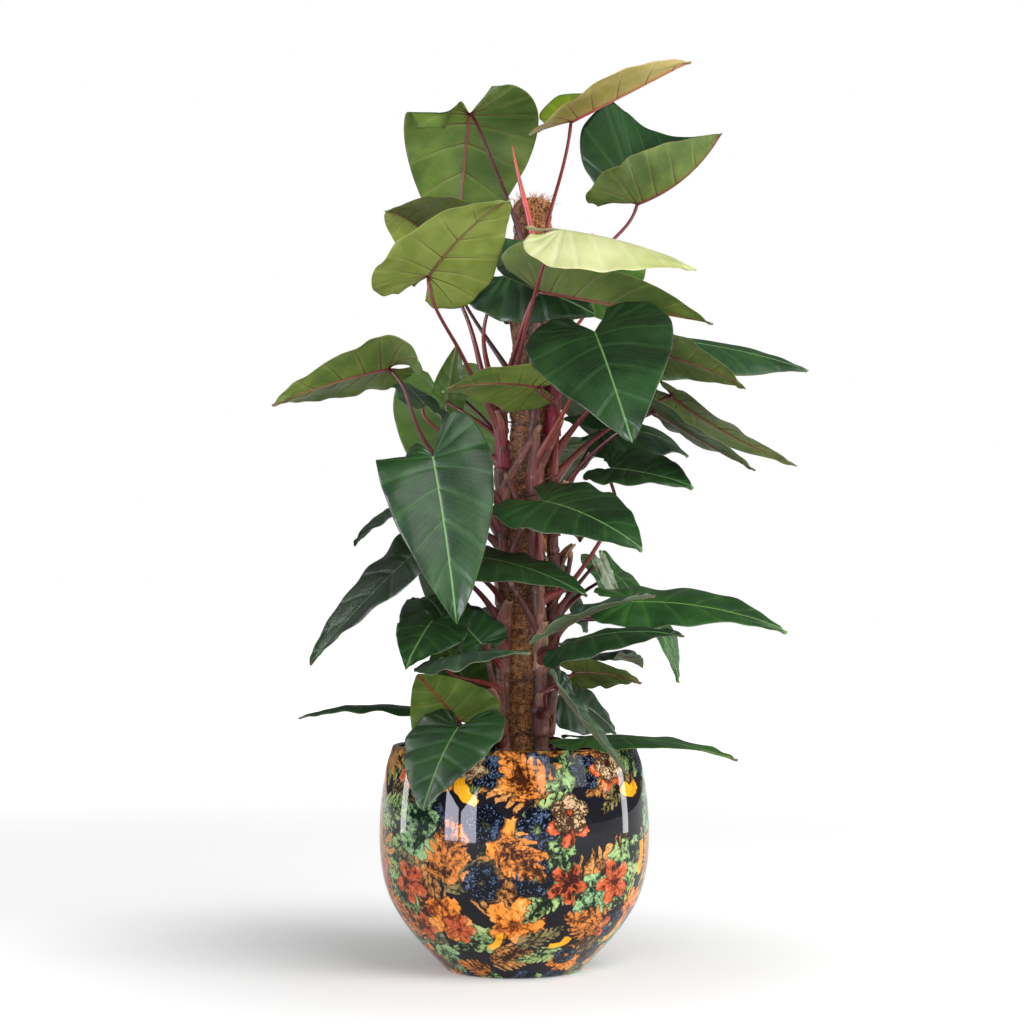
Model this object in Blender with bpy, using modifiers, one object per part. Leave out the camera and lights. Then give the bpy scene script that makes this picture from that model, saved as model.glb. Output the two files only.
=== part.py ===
"""Potted red emerald philodendron: a glazed round pot, soil, a coir pole and four leafy stems.

Metres, +Z up. The pot stands on the floor with the middle of its base at the origin,
and the plant's best side looks along -Y. The leaf table is in millimetres and degrees.
"""

import math

import bmesh
import bpy
from mathutils import Vector, noise

MM = 0.001
GAP = 0.0003

# Pot: a turned, thin-walled shell
POT_HEIGHT = 0.287
POT_RIM_RADIUS = 0.1585
POT_BELLY_RADIUS = 0.175
POT_FOOT_RADIUS = 0.088
POT_WALL = 0.008
POT_FLOOR = 0.012
POT_STEPS = 36

# Soil, and how deep the stems and the pole stand in it
SOIL_LEVEL = 0.252
SOIL_MOUND = 0.008
STEM_DEPTH = 0.060
POLE_DEPTH = 0.170
HOLE_CLEARANCE = 0.0006

# Coir pole: wrapped fibre round a post, leaning a little to the right
POLE_RADIUS = 0.0235
POLE_FOOT = Vector((0.012, 0.0, SOIL_LEVEL))
POLE_TOP = Vector((0.025, 0.0, 1.004))
POLE_SIDES = 14

# Blades
BLADE_THICKNESS = 0.0010
BLADE_RAYS = 8
BLADE_COLUMNS = 2

# Petioles: radius where they leave the stem, half way, and under the blade
PETIOLE_RADII = (0.0056, 0.0027, 0.0021)
PETIOLE_RINGS = 6
PETIOLE_SIDES = 6
STEM_SIDES = 8

# Half of a flat blade's edge, from the inside of the back lobe round to the tip, as
# (half widths out, lengths along from the petiole). Each ray of the blade ends on it.
EDGE = [
    (0.26, -0.22), (0.50, -0.262), (0.76, -0.215), (0.94, -0.09), (1.0, 0.07), (0.94, 0.25),
    (0.78, 0.45), (0.55, 0.65), (0.30, 0.83), (0.10, 0.95), (0.0, 1.0),
]
# Where those rays start on the midrib, in lengths along
RAY_START = [0, 0, 0, 0, 0.03, 0.12, 0.27, 0.46, 0.67, 0.86, 1.0]


class Leaf:
    """One leaf: where its blade starts and ends, which way it faces and how it bends."""

    def __init__(self, name, base, tip, face, half, fold=(8, 8), curl=(-20, -20), bow=0.06,
                 twist=0, drop=(0, 0), lobe=1.0, stem="a", start=500, via=(), colour="mature"):
        self.name = name
        self.base = Vector(base) * MM
        self.tip = Vector(tip) * MM
        self.face = Vector(face)
        self.half = [w * MM for w in half]
        self.fold = [math.radians(a) for a in fold]
        self.curl = [math.radians(a) for a in curl]
        self.bow = bow
        self.twist = math.radians(twist)
        self.drop = [math.radians(a) for a in drop]
        self.lobe = lobe
        self.stem = stem
        self.start = start * MM
        self.via = [Vector(point) * MM for point in via]
        self.colour = colour


# base and tip are points, face is the way the upper side looks, half is the width of
# the half on the blade's own right and left, and start is the height on the stem.
LEAVES = [
    Leaf("leaf_01", (-60, 40, 1130), (-80, 110, 945), (-0.1, 0.95, 0.25), (90, 95), (5, 5), (-30, -10),
         0.04, drop=(75, 15), stem="b", start=870, via=((8, -38, 950), (-25, -10, 1045)), colour="young"),
    Leaf("leaf_02", (75, 20, 1115), (230, -60, 1175), (-0.4, 0, 0.9), (80, 72), (45, 15), (-20, -25),
         0.0, twist=35, stem="b", start=885, via=((43, -37, 965),), colour="young"),
    Leaf("leaf_03", (166, 70, 1014), (279, 40, 1104), (-0.5, 0.2, 0.8), (165, 88), (84, 30), (-12, -15),
         -0.10, twist=28, lobe=1.45, stem="c", start=810, via=((110, 30, 930),)),
    Leaf("leaf_04", (-109, -130, 882), (-5, -250, 957), (-0.23, 0.45, 0.86), (80, 82), (5, 5), (-25, -20),
         0.06, stem="a", start=690, via=((-65, -75, 785),), colour="young"),
    Leaf("leaf_05", (-120, -6, 965), (-165, -120, 968), (-0.33, 0.1, 0.94), (88, 55), (0, -35), (-15, -60),
         0.05, stem="a", start=705, via=((-62, -22, 845),)),
    Leaf("leaf_06", (58, -215, 926), (224, -200, 880), (0, -0.4, 0.9), (40, 75), (-15, -15), (-15, -25),
         0.04, stem="a", start=722, via=((5, -85, 780), (20, -130, 840)), colour="pale"),
    Leaf("leaf_07", (30, -125, 865), (255, -80, 830), (0, 0, 1), (40, 65), (70, 65), (-10, -10),
         0.0, twist=-25, lobe=0.9, stem="a", start=735, via=((2, -95, 795),)),
    Leaf("leaf_08", (-12, -70, 893), (105, -85, 840), (0.1, -0.95, 0.3), (60, 62), (5, 5), (-20, -20),
         0.04, lobe=1.3, stem="a", start=728, via=((-40, -40, 820),)),
    Leaf("leaf_09", (105, 130, 905), (185, 190, 970), (0.1, -0.6, 0.8), (65, 65), (5, 5), (-20, -20),
         0.1, stem="c", start=790),
    Leaf("leaf_10", (100, -150, 810), (140, -270, 660), (-0.18, -0.71, 0.68), (96, 90), (8, 8), (-25, -20),
         0.08, stem="b", start=650, via=((70, -80, 730),)),
    Leaf("leaf_11", (185, 20, 825), (395, 50, 785), (0.15, -0.45, 0.9), (75, 85), (-5, -5), (-30, -30),
         0.03, stem="c", start=750),
    Leaf("leaf_12", (175, -80, 795), (290, -140, 740), (0.15, 0.3, 0.95), (50, 75), (0, 15), (-20, -20),
         0.03, stem="c", start=660),
    Leaf("leaf_13", (208, 25, 749), (380, 60, 658), (0.45, 0.15, 0.85), (60, 60), (0, 5), (-20, -20),
         -0.04, lobe=0.6, stem="c", start=630),
    Leaf("leaf_14", (179, -80, 717), (305, -110, 640), (0.45, 0.12, 0.85), (50, 50), (10, 10), (-20, -20),
         -0.02, stem="c", start=600),
    Leaf("leaf_15", (118, 110, 710), (245, 180, 680), (0.1, -0.5, 0.8), (70, 70), (5, 5), (-30, -30),
         0.1, stem="c", start=570),
    Leaf("leaf_16", (125, -25, 648), (228, -90, 620), (0.14, -0.45, 0.9), (60, 50), (25, 0), (-30, -20),
         0.03, lobe=0.7, stem="b", start=470, via=((75, -30, 500), (130, -28, 590))),
    Leaf("leaf_17", (35, -120, 600), (155, -220, 535), (0.03, -0.5, 0.87), (85, 72), (8, 5), (-25, -25),
         0.06, stem="b", start=520),
    Leaf("leaf_18", (-45, -100, 530), (90, -165, 480), (0.24, -0.45, 0.85), (62, 62), (5, 5), (-25, -25),
         0.05, stem="a", start=470),
    Leaf("leaf_19", (-160, -95, 770), (-300, -165, 715), (-0.35, 0.45, 0.8), (72, 68), (8, 20), (-20, -10),
         0.03, drop=(50, 0), stem="a", start=560, via=((-112, -80, 675),)),
    Leaf("leaf_20", (-100, -190, 650), (-70, -210, 445), (0.2, -0.95, 0.12), (72, 72), (15, 15), (-20, -20),
         0.05, drop=(0, 60), stem="a", start=590),
    Leaf("leaf_21", (30, -110, 745), (-90, -200, 730), (-0.1, 0.37, 0.9), (58, 60), (5, 5), (-20, -20),
         0.05, stem="c", start=640, via=((55, -55, 720),)),
    Leaf("leaf_22", (-118, -25, 732), (-185, 90, 785), (0.1, 0.35, 0.9), (45, 40), (5, 10), (-20, -20),
         0.05, lobe=0.8, stem="a", start=650, via=((-80, -15, 685),), colour="pale"),
    Leaf("leaf_23", (-95, 150, 755), (-70, 120, 575), (-0.15, 0.9, 0.3), (75, 75), (5, 5), (-20, -20),
         0.05, stem="d", start=640, colour="young"),
    Leaf("leaf_24", (-90, 60, 743), (-77, 70, 823), (0, 0.7, 0.4), (24, 24), (10, 10), (-20, -20),
         0.05, stem="d", start=660, colour="pale"),
    Leaf("leaf_25", (-130, -60, 605), (-205, -80, 545), (-0.5, -0.2, 0.8), (60, 60), (5, 5), (-20, -20),
         0.05, stem="a", start=540),
    Leaf("leaf_26", (-125, -120, 535), (-255, -140, 395), (-0.62, -0.42, 0.67), (70, 70), (10, 10),
         (-20, -20), 0.02, stem="a", start=440),
    Leaf("leaf_27", (-105, -60, 450), (-135, -150, 390), (0.1, -0.5, 0.8), (50, 42), (5, 5), (-30, -30),
         0.05, stem="a", start=390),
    Leaf("leaf_28", (-90, 40, 445), (-130, 150, 480), (0, -0.4, 0.9), (60, 60), (5, 5), (-20, -20),
         0.1, stem="d", start=400),
    Leaf("leaf_29", (-42, -58, 420), (-92, -6, 466), (-0.1, -0.75, 0.55), (28, 40), (5, 5), (-20, -20),
         0.05, lobe=0.7, stem="a", start=385),
    Leaf("leaf_30", (-84, -112, 404), (20, -190, 410), (0.1, -0.12, 1), (60, 50), (5, -10), (-30, -30),
         0.03, stem="a", start=350),
    Leaf("leaf_31", (-70, -60, 321), (-122, -114, 381), (-0.24, 0.63, 0.74), (60, 60), (5, 5), (-20, -20),
         0.05, stem="a", start=300, colour="young"),
    Leaf("leaf_32", (-60, 60, 355), (-100, 120, 425), (0, -0.6, 0.6), (60, 60), (5, 5), (-20, -20),
         0.05, stem="d", start=310, colour="young"),
    Leaf("leaf_33", (-70, -137, 317), (-110, -205, 220), (-0.4, -0.65, 0.63), (68, 70), (8, 8), (-20, -20),
         0.06, stem="a", start=285),
    Leaf("leaf_34", (-117, 5, 335), (-278, -35, 323), (0, 0, 1), (40, 28), (0, 0), (-30, -20),
         0.06, stem="a", start=295),
    Leaf("leaf_35", (148, -110, 473), (342, -125, 436), (0.12, -0.4, 0.9), (72, 55), (8, 0), (-30, -30),
         0.06, stem="b", start=430),
    Leaf("leaf_36", (135, 60, 512), (219, 30, 368), (0.7, -0.41, 0.52), (58, 58), (5, 5), (-20, -20),
         0.08, stem="c", start=440),
    Leaf("leaf_37", (53, -130, 436), (172, -190, 480), (-0.3, -0.2, 0.95), (24, 26), (25, 25), (10, 10),
         0.05, stem="b", start=400),
    Leaf("leaf_38", (72, -158, 424), (205, -218, 431), (0.05, -0.3, 0.95), (44, 66), (5, 0), (-30, -25),
         0.06, lobe=0.8, stem="b", start=390, via=((54, -97, 414),)),
    Leaf("leaf_39", (76, -52, 384), (160, -106, 371), (0.05, 0.55, 0.82), (36, 48), (5, 5), (-20, -20),
         0.05, lobe=0.7, stem="b", start=350),
    Leaf("leaf_40", (54, -190, 367), (136, -200, 266), (0.78, -0.2, 0.6), (30, 34), (25, 25), (-10, -10),
         -0.02, lobe=0.7, stem="b", start=320, via=((38, -115, 340),)),
    Leaf("leaf_41", (100, -60, 300), (280, -110, 275), (0.1, -0.1, 1), (60, 60), (5, 5), (-25, -25),
         0.05, stem="c", start=285),
    Leaf("leaf_42", (62, 75, 350), (139, 120, 296), (0.25, -0.55, 0.8), (66, 66), (5, 5), (-20, -20),
         0.08, stem="c", start=300),
    Leaf("leaf_43", (75, 90, 492), (98, 165, 440), (0.2, -0.7, 0.6), (60, 60), (5, 5), (-20, -20),
         0.08, stem="d", start=420),
    Leaf("leaf_44", (112, -12, 529), (150, -10, 449), (-0.3, -0.9, 0.3), (9, 11), (5, 5), (-20, -20),
         0.10, lobe=0.5, stem="c", start=450, colour="pale"),
    Leaf("leaf_45", (-5, 120, 905), (-10, 235, 875), (0.05, 0.6, 0.8), (62, 62), (10, 10), (-25, -25),
         0.08, stem="d", start=735),
    Leaf("leaf_46", (50, 170, 690), (25, 285, 600), (-0.1, 0.6, 0.8), (70, 70), (10, 10), (-25, -25),
         0.08, stem="d", start=620),
    Leaf("leaf_47", (65, 130, 800), (125, 240, 700), (0.3, 0.5, 0.8), (80, 80), (10, 10), (-25, -25),
         0.08, stem="d", start=690),
    Leaf("leaf_48", (0, 150, 450), (10, 280, 350), (0, 0.6, 0.8), (70, 70), (10, 10), (-25, -25),
         0.08, stem="d", start=370),
    Leaf("leaf_49", (-60, 140, 540), (-120, 260, 470), (-0.2, 0.5, 0.8), (65, 65), (10, 10), (-25, -25),
         0.08, stem="d", start=480),
    Leaf("leaf_50", (70, 140, 600), (95, 250, 565), (0.2, 0.5, 0.8), (55, 55), (10, 10), (-25, -25),
         0.08, stem="d", start=530),
    Leaf("leaf_51", (-95, 140, 955), (-145, 235, 930), (-0.3, 0.5, 0.8), (60, 60), (10, 10), (-25, -25),
         0.08, stem="d", start=740),
    Leaf("leaf_52", (100, 90, 400), (180, 190, 385), (0.2, 0.4, 0.9), (50, 50), (10, 10), (-25, -25),
         0.08, stem="c", start=390),
]

# Stems: name, centre line points from the soil up, radius at the foot and at the top
STEMS = {
    "a": (((-16, -21, 252), (-15, -19, 400), (-15, -15, 560), (-16, -12, 690), (-16, -14, 742)), 10.0, 8.0),
    "b": (((34, -27, 252), (33, -29, 400), (28, -33, 560), (26, -34, 700), (32, -33, 905)), 10.0, 7.5),
    "c": (((41, 19, 252), (47, 12, 400), (51, 1, 560), (50, -15, 700), (58, -12, 835)), 9.5, 7.5),
    "d": (((6, 36, 252), (8, 37, 400), (12, 38, 560), (16, 38, 690), (18, 38, 750)), 9.0, 7.5),
}
INTERNODE = 0.052

# Pointed sheaths that stand up at the stems' tops: stem, foot height, tip, foot radius
SHEATHS = [
    ("b", 880, (-3, -34, 1070), 5.5),
    ("c", 800, (103, -5, 960), 6.5),
]

COLOURS = {
    "pot": ((0.035, 0.033, 0.038), 0.12),
    "soil": ((0.045, 0.028, 0.018), 0.95),
    "coir": ((0.30, 0.13, 0.045), 0.95),
    "stem": ((0.17, 0.045, 0.04), 0.45),
    "mature": ((0.02, 0.075, 0.022), 0.32),
    "young": ((0.12, 0.2, 0.04), 0.38),
    "pale": ((0.35, 0.42, 0.16), 0.42),
}


def clear_scene():
    for item in list(bpy.data.objects):
        bpy.data.objects.remove(item)


def new_collection(name):
    collection = bpy.data.collections.new(name)
    bpy.context.scene.collection.children.link(collection)
    return collection


def new_material(name):
    colour, roughness = COLOURS[name]
    material = bpy.data.materials.new(name)
    material.use_nodes = True
    shader = material.node_tree.nodes["Principled BSDF"]
    shader.inputs["Base Color"].default_value = (*colour, 1)
    shader.inputs["Roughness"].default_value = roughness
    shader.inputs["Metallic"].default_value = 0.0
    return material


def new_object(name, mesh, collection, material=None):
    item = bpy.data.objects.new(name, mesh)
    collection.objects.link(item)
    if material:
        mesh.materials.append(material)
    return item


def catmull(points, t):
    """The value at t, 0 to 1, on a smooth curve through evenly spaced points."""
    last = len(points) - 1
    place = min(max(t, 0.0), 1.0) * last
    i = min(int(place), last - 1)
    u = place - i
    b, c = points[i], points[i + 1]
    a = points[i - 1] if i > 0 else 2 * b - c
    d = points[i + 2] if i + 2 <= last else 2 * c - b
    square, cube = 2 * a - 5 * b + 4 * c - d, 3 * b - a - 3 * c + d
    return 0.5 * (2 * b + (c - a) * u + square * u * u + cube * u ** 3)


def turned(name, profile, steps, collection, material):
    """A body of revolution; its profile runs down the outer side, in metres."""
    mesh = bpy.data.meshes.new(name)
    points = [(r, 0.0, z) for r, z in profile]
    mesh.from_pydata(points, [(i, i + 1) for i in range(len(points) - 1)], [])
    item = new_object(name, mesh, collection, material)
    screw = item.modifiers.new("turn", "SCREW")
    screw.steps = steps
    screw.render_steps = steps
    screw.use_merge_vertices = True
    screw.merge_threshold = 0.00005
    return item


def pot_outline(count=14):
    """Radius and height of the pot's outer side, from the foot up to the rim."""
    radii = [POT_FOOT_RADIUS, 0.110, 0.136, 0.157, 0.1695, POT_BELLY_RADIUS, 0.1745, 0.168, POT_RIM_RADIUS]
    heights = [0.0, 0.022, 0.051, 0.083, 0.115, 0.156, 0.206, 0.257, POT_HEIGHT]
    steps = [i / (count - 1) for i in range(count)]
    return [(catmull(radii, t), catmull(heights, t)) for t in steps]


def inner_radius(z):
    """Radius of the pot's inner side at a height."""
    outline = pot_outline(60)
    for (r0, z0), (r1, z1) in zip(outline, outline[1:]):
        if z0 <= z <= z1:
            return r0 + (r1 - r0) * (z - z0) / (z1 - z0) - POT_WALL
    return outline[-1][0] - POT_WALL


def inner_side():
    """Radius and height of the pot's inner side, from the edge of its floor up."""
    side = [(inner_radius(z), z) for _, z in pot_outline() if z > POT_FLOOR + 0.012]
    side[-1] = (POT_RIM_RADIUS - POT_WALL, POT_HEIGHT - 0.001)
    return [(side[0][0] - 0.022, POT_FLOOR), *side]


def make_pot(collection, material):
    outer = pot_outline()
    inner = inner_side()
    floor = [(0.0, POT_FLOOR)]
    rim = [
        (POT_RIM_RADIUS - POT_WALL * 0.6, POT_HEIGHT + 0.002),
        (POT_RIM_RADIUS - POT_WALL * 0.2, POT_HEIGHT + 0.001)]
    foot = [(POT_FOOT_RADIUS, 0.0), (0.0, 0.0)]
    profile = floor + inner + rim + outer[::-1][:-1] + foot
    return turned("pot", profile, POT_STEPS, collection, material)


def bury(point, depth):
    return Vector((point.x, point.y, point.z - depth))


def make_soil(collection, cutters, material):
    """Soil that fills the pot, with a plain hole for each stem and for the pole."""
    wall = inner_side()
    side = [(r - 1.5 * GAP, z + GAP) for r, z in wall[:-1:2] if z < SOIL_LEVEL - 0.010]
    side.append((min(r for r, z in wall if abs(z - SOIL_LEVEL) < 0.03) - GAP, SOIL_LEVEL))
    top = [(r, SOIL_LEVEL + SOIL_MOUND * rise) for r, rise in ((0.0, 1.0), (0.07, 0.8), (0.12, 0.4))]
    bottom = [(0.0, POT_FLOOR + GAP)]
    soil = turned("soil", top + side[::-1] + bottom, POT_STEPS, collection, material)
    places = [(Vector(points[0]) * MM, radius * MM, STEM_DEPTH) for points, radius, _ in STEMS.values()]
    places.append((POLE_FOOT, POLE_RADIUS * 1.04, POLE_DEPTH))
    for i, (foot, radius, depth) in enumerate(places):
        mesh = bpy.data.meshes.new("hole_%d" % i)
        shape = bmesh.new()
        length = depth + 0.03
        bmesh.ops.create_cone(
            shape, cap_ends=True, segments=16, depth=length,
            radius1=radius * 1.02 + HOLE_CLEARANCE, radius2=radius * 1.02 + HOLE_CLEARANCE)
        middle = bury(foot, depth + GAP) + Vector((0, 0, length / 2))
        bmesh.ops.translate(shape, verts=shape.verts, vec=middle)
        shape.to_mesh(mesh)
        shape.free()
        cutter = new_object("hole_%d" % i, mesh, cutters)
        cutter.hide_render = True
        cutter.display_type = "WIRE"
    cut = soil.modifiers.new("holes", "BOOLEAN")
    cut.operation = "DIFFERENCE"
    cut.operand_type = "COLLECTION"
    cut.collection = cutters
    cut.solver = "EXACT"
    return soil


def tube(name, path, radii, sides, collection):
    """A closed tube along a path, as a mesh object."""
    curve = bpy.data.curves.new(name, "CURVE")
    curve.dimensions = "3D"
    curve.bevel_depth = 1.0
    curve.bevel_resolution = (sides - 4) // 2
    curve.use_fill_caps = True
    curve.resolution_u = 1
    spline = curve.splines.new("POLY")
    spline.points.add(len(path) - 1)
    for point, place, radius in zip(spline.points, path, radii):
        point.co = (*place, 1)
        point.radius = radius
    holder = bpy.data.objects.new(name, curve)
    collection.objects.link(holder)
    bpy.context.view_layer.update()
    graph = bpy.context.evaluated_depsgraph_get()
    mesh = bpy.data.meshes.new_from_object(holder.evaluated_get(graph))
    bpy.data.objects.remove(holder)
    shape = bmesh.new()
    shape.from_mesh(mesh)
    bmesh.ops.remove_doubles(shape, verts=shape.verts, dist=0.00001)
    bmesh.ops.recalc_face_normals(shape, faces=shape.faces)
    shape.to_mesh(mesh)
    shape.free()
    mesh.name = name
    return new_object(name, mesh, collection)


def stem_point(key, height):
    """The middle of a stem at a height."""
    points = [Vector(p) * MM for p in STEMS[key][0]]
    low, high = 0.0, 1.0
    for _ in range(30):
        middle = (low + high) / 2
        if catmull(points, middle).z < height:
            low = middle
        else:
            high = middle
    return catmull(points, (low + high) / 2)


def stem_radius(key, height):
    points, foot, top = STEMS[key]
    share = (height / MM - points[0][2]) / (points[-1][2] - points[0][2])
    return (foot + (top - foot) * min(max(share, 0), 1)) * MM


def blade_frame(leaf):
    """The blade's direction, upper normal and right side at its base."""
    along = (leaf.tip - leaf.base).normalized()
    normal = (leaf.face - along * leaf.face.dot(along)).normalized()
    return along, normal, normal.cross(along)


class Bend:
    """Bends flat blade points onto the leaf's curved midrib."""

    def __init__(self, leaf):
        self.leaf = leaf
        along, self.normal, _ = blade_frame(leaf)
        chord = leaf.tip - leaf.base
        self.middle = (leaf.base + leaf.tip) / 2 + self.normal * chord.length * 2 * leaf.bow
        self.steps = [self.place(i / 40) for i in range(41)]
        self.reach = [0.0]
        for a, b in zip(self.steps, self.steps[1:]):
            self.reach.append(self.reach[-1] + (b - a).length)
        self.length = self.reach[-1]

    def place(self, t):
        leaf = self.leaf
        return (1 - t) ** 2 * leaf.base + 2 * t * (1 - t) * self.middle + t * t * leaf.tip

    def tangent(self, t):
        leaf = self.leaf
        return ((1 - t) * (self.middle - leaf.base) + t * (leaf.tip - self.middle)).normalized()

    def at_length(self, share):
        goal = share * self.length
        for i, (a, b) in enumerate(zip(self.reach, self.reach[1:])):
            if goal <= b or i == 39:
                return (i + (goal - a) / (b - a)) / 40
        return 1.0

    def point(self, x, y):
        """x in half widths to the blade's right, y in lengths along it."""
        leaf = self.leaf
        t = self.at_length(y) if y > 0 else 0.0
        tangent = self.tangent(t)
        centre = self.place(t) + tangent * min(y, 0) * self.length
        normal = (self.normal - tangent * self.normal.dot(tangent)).normalized()
        side = normal.cross(tangent)
        turn = leaf.twist * min(max(y, -0.3), 1.0)
        normal, side = (
            normal * math.cos(turn) + side * math.sin(turn),
            side * math.cos(turn) - normal * math.sin(turn))
        half = 0 if x >= 0 else 1
        width = leaf.half[half]
        fold = leaf.fold[half]
        curl = leaf.curl[half] or 0.001
        bend = width / curl
        share = abs(x)
        out = bend * (math.sin(fold + curl * share) - math.sin(fold))
        rise = bend * (math.cos(fold) - math.cos(fold + curl * share))
        back = max(0.0, 0.10 - y) * self.length
        turn = leaf.drop[half] * min(1.0, back / (0.30 * self.length)) * min(1.0, share * 2.5)
        centre = centre + tangent * back * (1 - math.cos(turn))
        rise -= back * math.sin(turn)
        wave = 0.0025 * share * share * math.sin(19.0 * y + 2.1 * half + 5.0 * leaf.base.x / 0.1)
        return centre + side * out * (1 if x >= 0 else -1) + normal * (rise + wave)


def flat_point(ray, share, lobe):
    """A point of the flat half blade: how far round its edge, and how far out, 0 to 1."""
    edge_x = catmull([p[0] for p in EDGE], ray)
    edge_y = catmull([p[1] for p in EDGE], ray)
    if edge_y < 0:
        edge_y *= lobe
    start = max(0.0, catmull(RAY_START, ray)) if ray > 0.3 else 0.0
    bend_x, bend_y = 0.5 * edge_x, start + 0.40 * (edge_y - start)
    x = 2 * share * (1 - share) * bend_x + share ** 2 * edge_x
    y = (1 - share) ** 2 * start + 2 * share * (1 - share) * bend_y + share ** 2 * edge_y
    return x, y


def make_blade(leaf, collection, material):
    bend = Bend(leaf)
    shape = bmesh.new()
    bmesh.ops.create_grid(shape, x_segments=2 * BLADE_COLUMNS, y_segments=BLADE_RAYS, size=1.0)
    for vert in shape.verts:
        across, ray = vert.co.x, (vert.co.y + 1) / 2
        x, y = flat_point(ray, abs(across), leaf.lobe)
        vert.co = bend.point(math.copysign(x, across), y)
    bmesh.ops.remove_doubles(shape, verts=shape.verts, dist=0.00002)
    bmesh.ops.triangulate(shape, faces=shape.faces)
    mesh = bpy.data.meshes.new(leaf.name)
    shape.to_mesh(mesh)
    shape.free()
    item = new_object(leaf.name, mesh, collection, material)
    solid = item.modifiers.new("thickness", "SOLIDIFY")
    solid.thickness = BLADE_THICKNESS
    solid.offset = 0.0
    return item


def smooth_path(points, first, last, count):
    """Points on a smooth curve through points that leaves along first and ends along last."""
    slopes = []
    for i, point in enumerate(points):
        if i == 0:
            slopes.append(first * (points[1] - point).length)
        elif i == len(points) - 1:
            slopes.append(last * (point - points[-2]).length)
        else:
            slopes.append((points[i + 1] - points[i - 1]) / 2)
    path = []
    spans = len(points) - 1
    for k in range(count):
        place = k / (count - 1) * spans
        i = min(int(place), spans - 1)
        u = place - i
        a, b = points[i], points[i + 1]
        path.append(
            a * (2 * u ** 3 - 3 * u * u + 1) + slopes[i] * (u ** 3 - 2 * u * u + u)
            + b * (3 * u * u - 2 * u ** 3) + slopes[i + 1] * (u ** 3 - u * u))
    return path


def petiole_path(leaf, count):
    """From inside the stem to just under the blade's base."""
    bend = Bend(leaf)
    along = bend.tangent(0)
    normal = (bend.normal - along * bend.normal.dot(along)).normalized()
    arrive = (normal * 0.8 + along * 0.45).normalized()
    start = stem_point(leaf.stem, leaf.start)
    aim = leaf.via[0] if leaf.via else leaf.base
    out = Vector((aim.x - start.x, aim.y - start.y, 0)).normalized()
    leave = (out * 0.55 + Vector((0, 0, 0.83))).normalized()
    lift = math.sin(min(leaf.fold))
    sag = -lift * (0.35 if lift > 0 else 1.0) + 0.3 * math.sin(max(leaf.drop))
    lean = 0.4
    for _ in range(3):
        depth = BLADE_THICKNESS / 2 + 1.4 * GAP + PETIOLE_RADII[2] * (lean + sag)
        path = smooth_path([start, *leaf.via, leaf.base - normal * depth], leave, arrive, count)
        last = (path[-1] - path[-2]).normalized()
        lean = (last - normal * last.dot(normal)).length
    return path


def petiole_radii(count):
    steps = [i / (count - 1) for i in range(count)]
    return [catmull(PETIOLE_RADII, t) for t in steps]


def make_stem(key, collection, helpers, material):
    """A stem with its petioles and sheaths, joined into one body."""
    points, foot_radius, top_radius = STEMS[key]
    foot = Vector(points[0]) * MM
    top = Vector(points[-1]) * MM
    path = [bury(foot, STEM_DEPTH)]
    radii = [foot_radius * MM]
    height = foot.z + 0.004
    path.append(Vector((foot.x, foot.y, height)))
    radii.append(foot_radius * MM)
    height += INTERNODE * 0.5
    while height < top.z - 0.01:
        path.append(stem_point(key, height))
        ring = 1.16 if len(path) % 2 else 0.92
        radii.append(stem_radius(key, height) * ring)
        height += INTERNODE * 0.5
    path.append(top)
    radii.append(top_radius * MM * 0.7)
    stem = tube("stem_" + key, path, radii, STEM_SIDES, collection)
    stem.data.materials.append(material)
    for leaf in [item for item in LEAVES if item.stem == key]:
        count = PETIOLE_RINGS + len(leaf.via)
        tube("petiole_" + leaf.name, petiole_path(leaf, count), petiole_radii(count), PETIOLE_SIDES, helpers)
    for owner, start, tip, radius in SHEATHS:
        if owner == key:
            begin, end = stem_point(key, start * MM), Vector(tip) * MM
            line = smooth_path([begin, end], Vector((0, 0, 1)), (end - begin).normalized(), 5)
            sizes = [radius * MM * s for s in (1.0, 1.0, 0.8, 0.5, 0.15)]
            tube("sheath_" + key, line, sizes, PETIOLE_SIDES, helpers)
    join = stem.modifiers.new("join", "BOOLEAN")
    join.operation = "UNION"
    join.operand_type = "COLLECTION"
    join.collection = helpers
    join.solver = "EXACT"
    bpy.context.view_layer.update()
    graph = bpy.context.evaluated_depsgraph_get()
    mesh = bpy.data.meshes.new_from_object(stem.evaluated_get(graph))
    stem.modifiers.clear()
    stem.data = mesh
    for item in list(helpers.objects):
        bpy.data.objects.remove(item)
    return stem


def make_pole(collection, material):
    path = [bury(POLE_FOOT, POLE_DEPTH), POLE_FOOT + Vector((0, 0, 0.012))]
    radii = [POLE_RADIUS, POLE_RADIUS]
    steps = 13
    for i in range(1, steps + 1):
        t = i / steps
        path.append(POLE_FOOT.lerp(POLE_TOP, t))
        radii.append(POLE_RADIUS * (1 + 0.035 * noise.noise(Vector((0, 0, 7 * t)))))
    radii[-1] = POLE_RADIUS * 0.86
    pole = tube("coir_pole", path, radii, POLE_SIDES, collection)
    pole.data.materials.append(material)
    return pole


def main():
    clear_scene()
    parts = new_collection("potted_philodendron")
    cutters = new_collection("holes")
    helpers = new_collection("petioles")
    materials = {name: new_material(name) for name in COLOURS}
    make_pot(parts, materials["pot"])
    make_soil(parts, cutters, materials["soil"])
    make_pole(parts, materials["coir"])
    for key in STEMS:
        make_stem(key, parts, helpers, materials["stem"])
    for leaf in LEAVES:
        make_blade(leaf, parts, materials[leaf.colour])
    cutters.hide_render = True


main()
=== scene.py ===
"""Potted red emerald philodendron in a glazed, printed round pot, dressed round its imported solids.

Metres, +Z up, the pot's base at the origin. The pieces are made by the operators below, in order.
"""

import random
from math import cos, exp, hypot, pi, radians, sin, sqrt, tan

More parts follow.
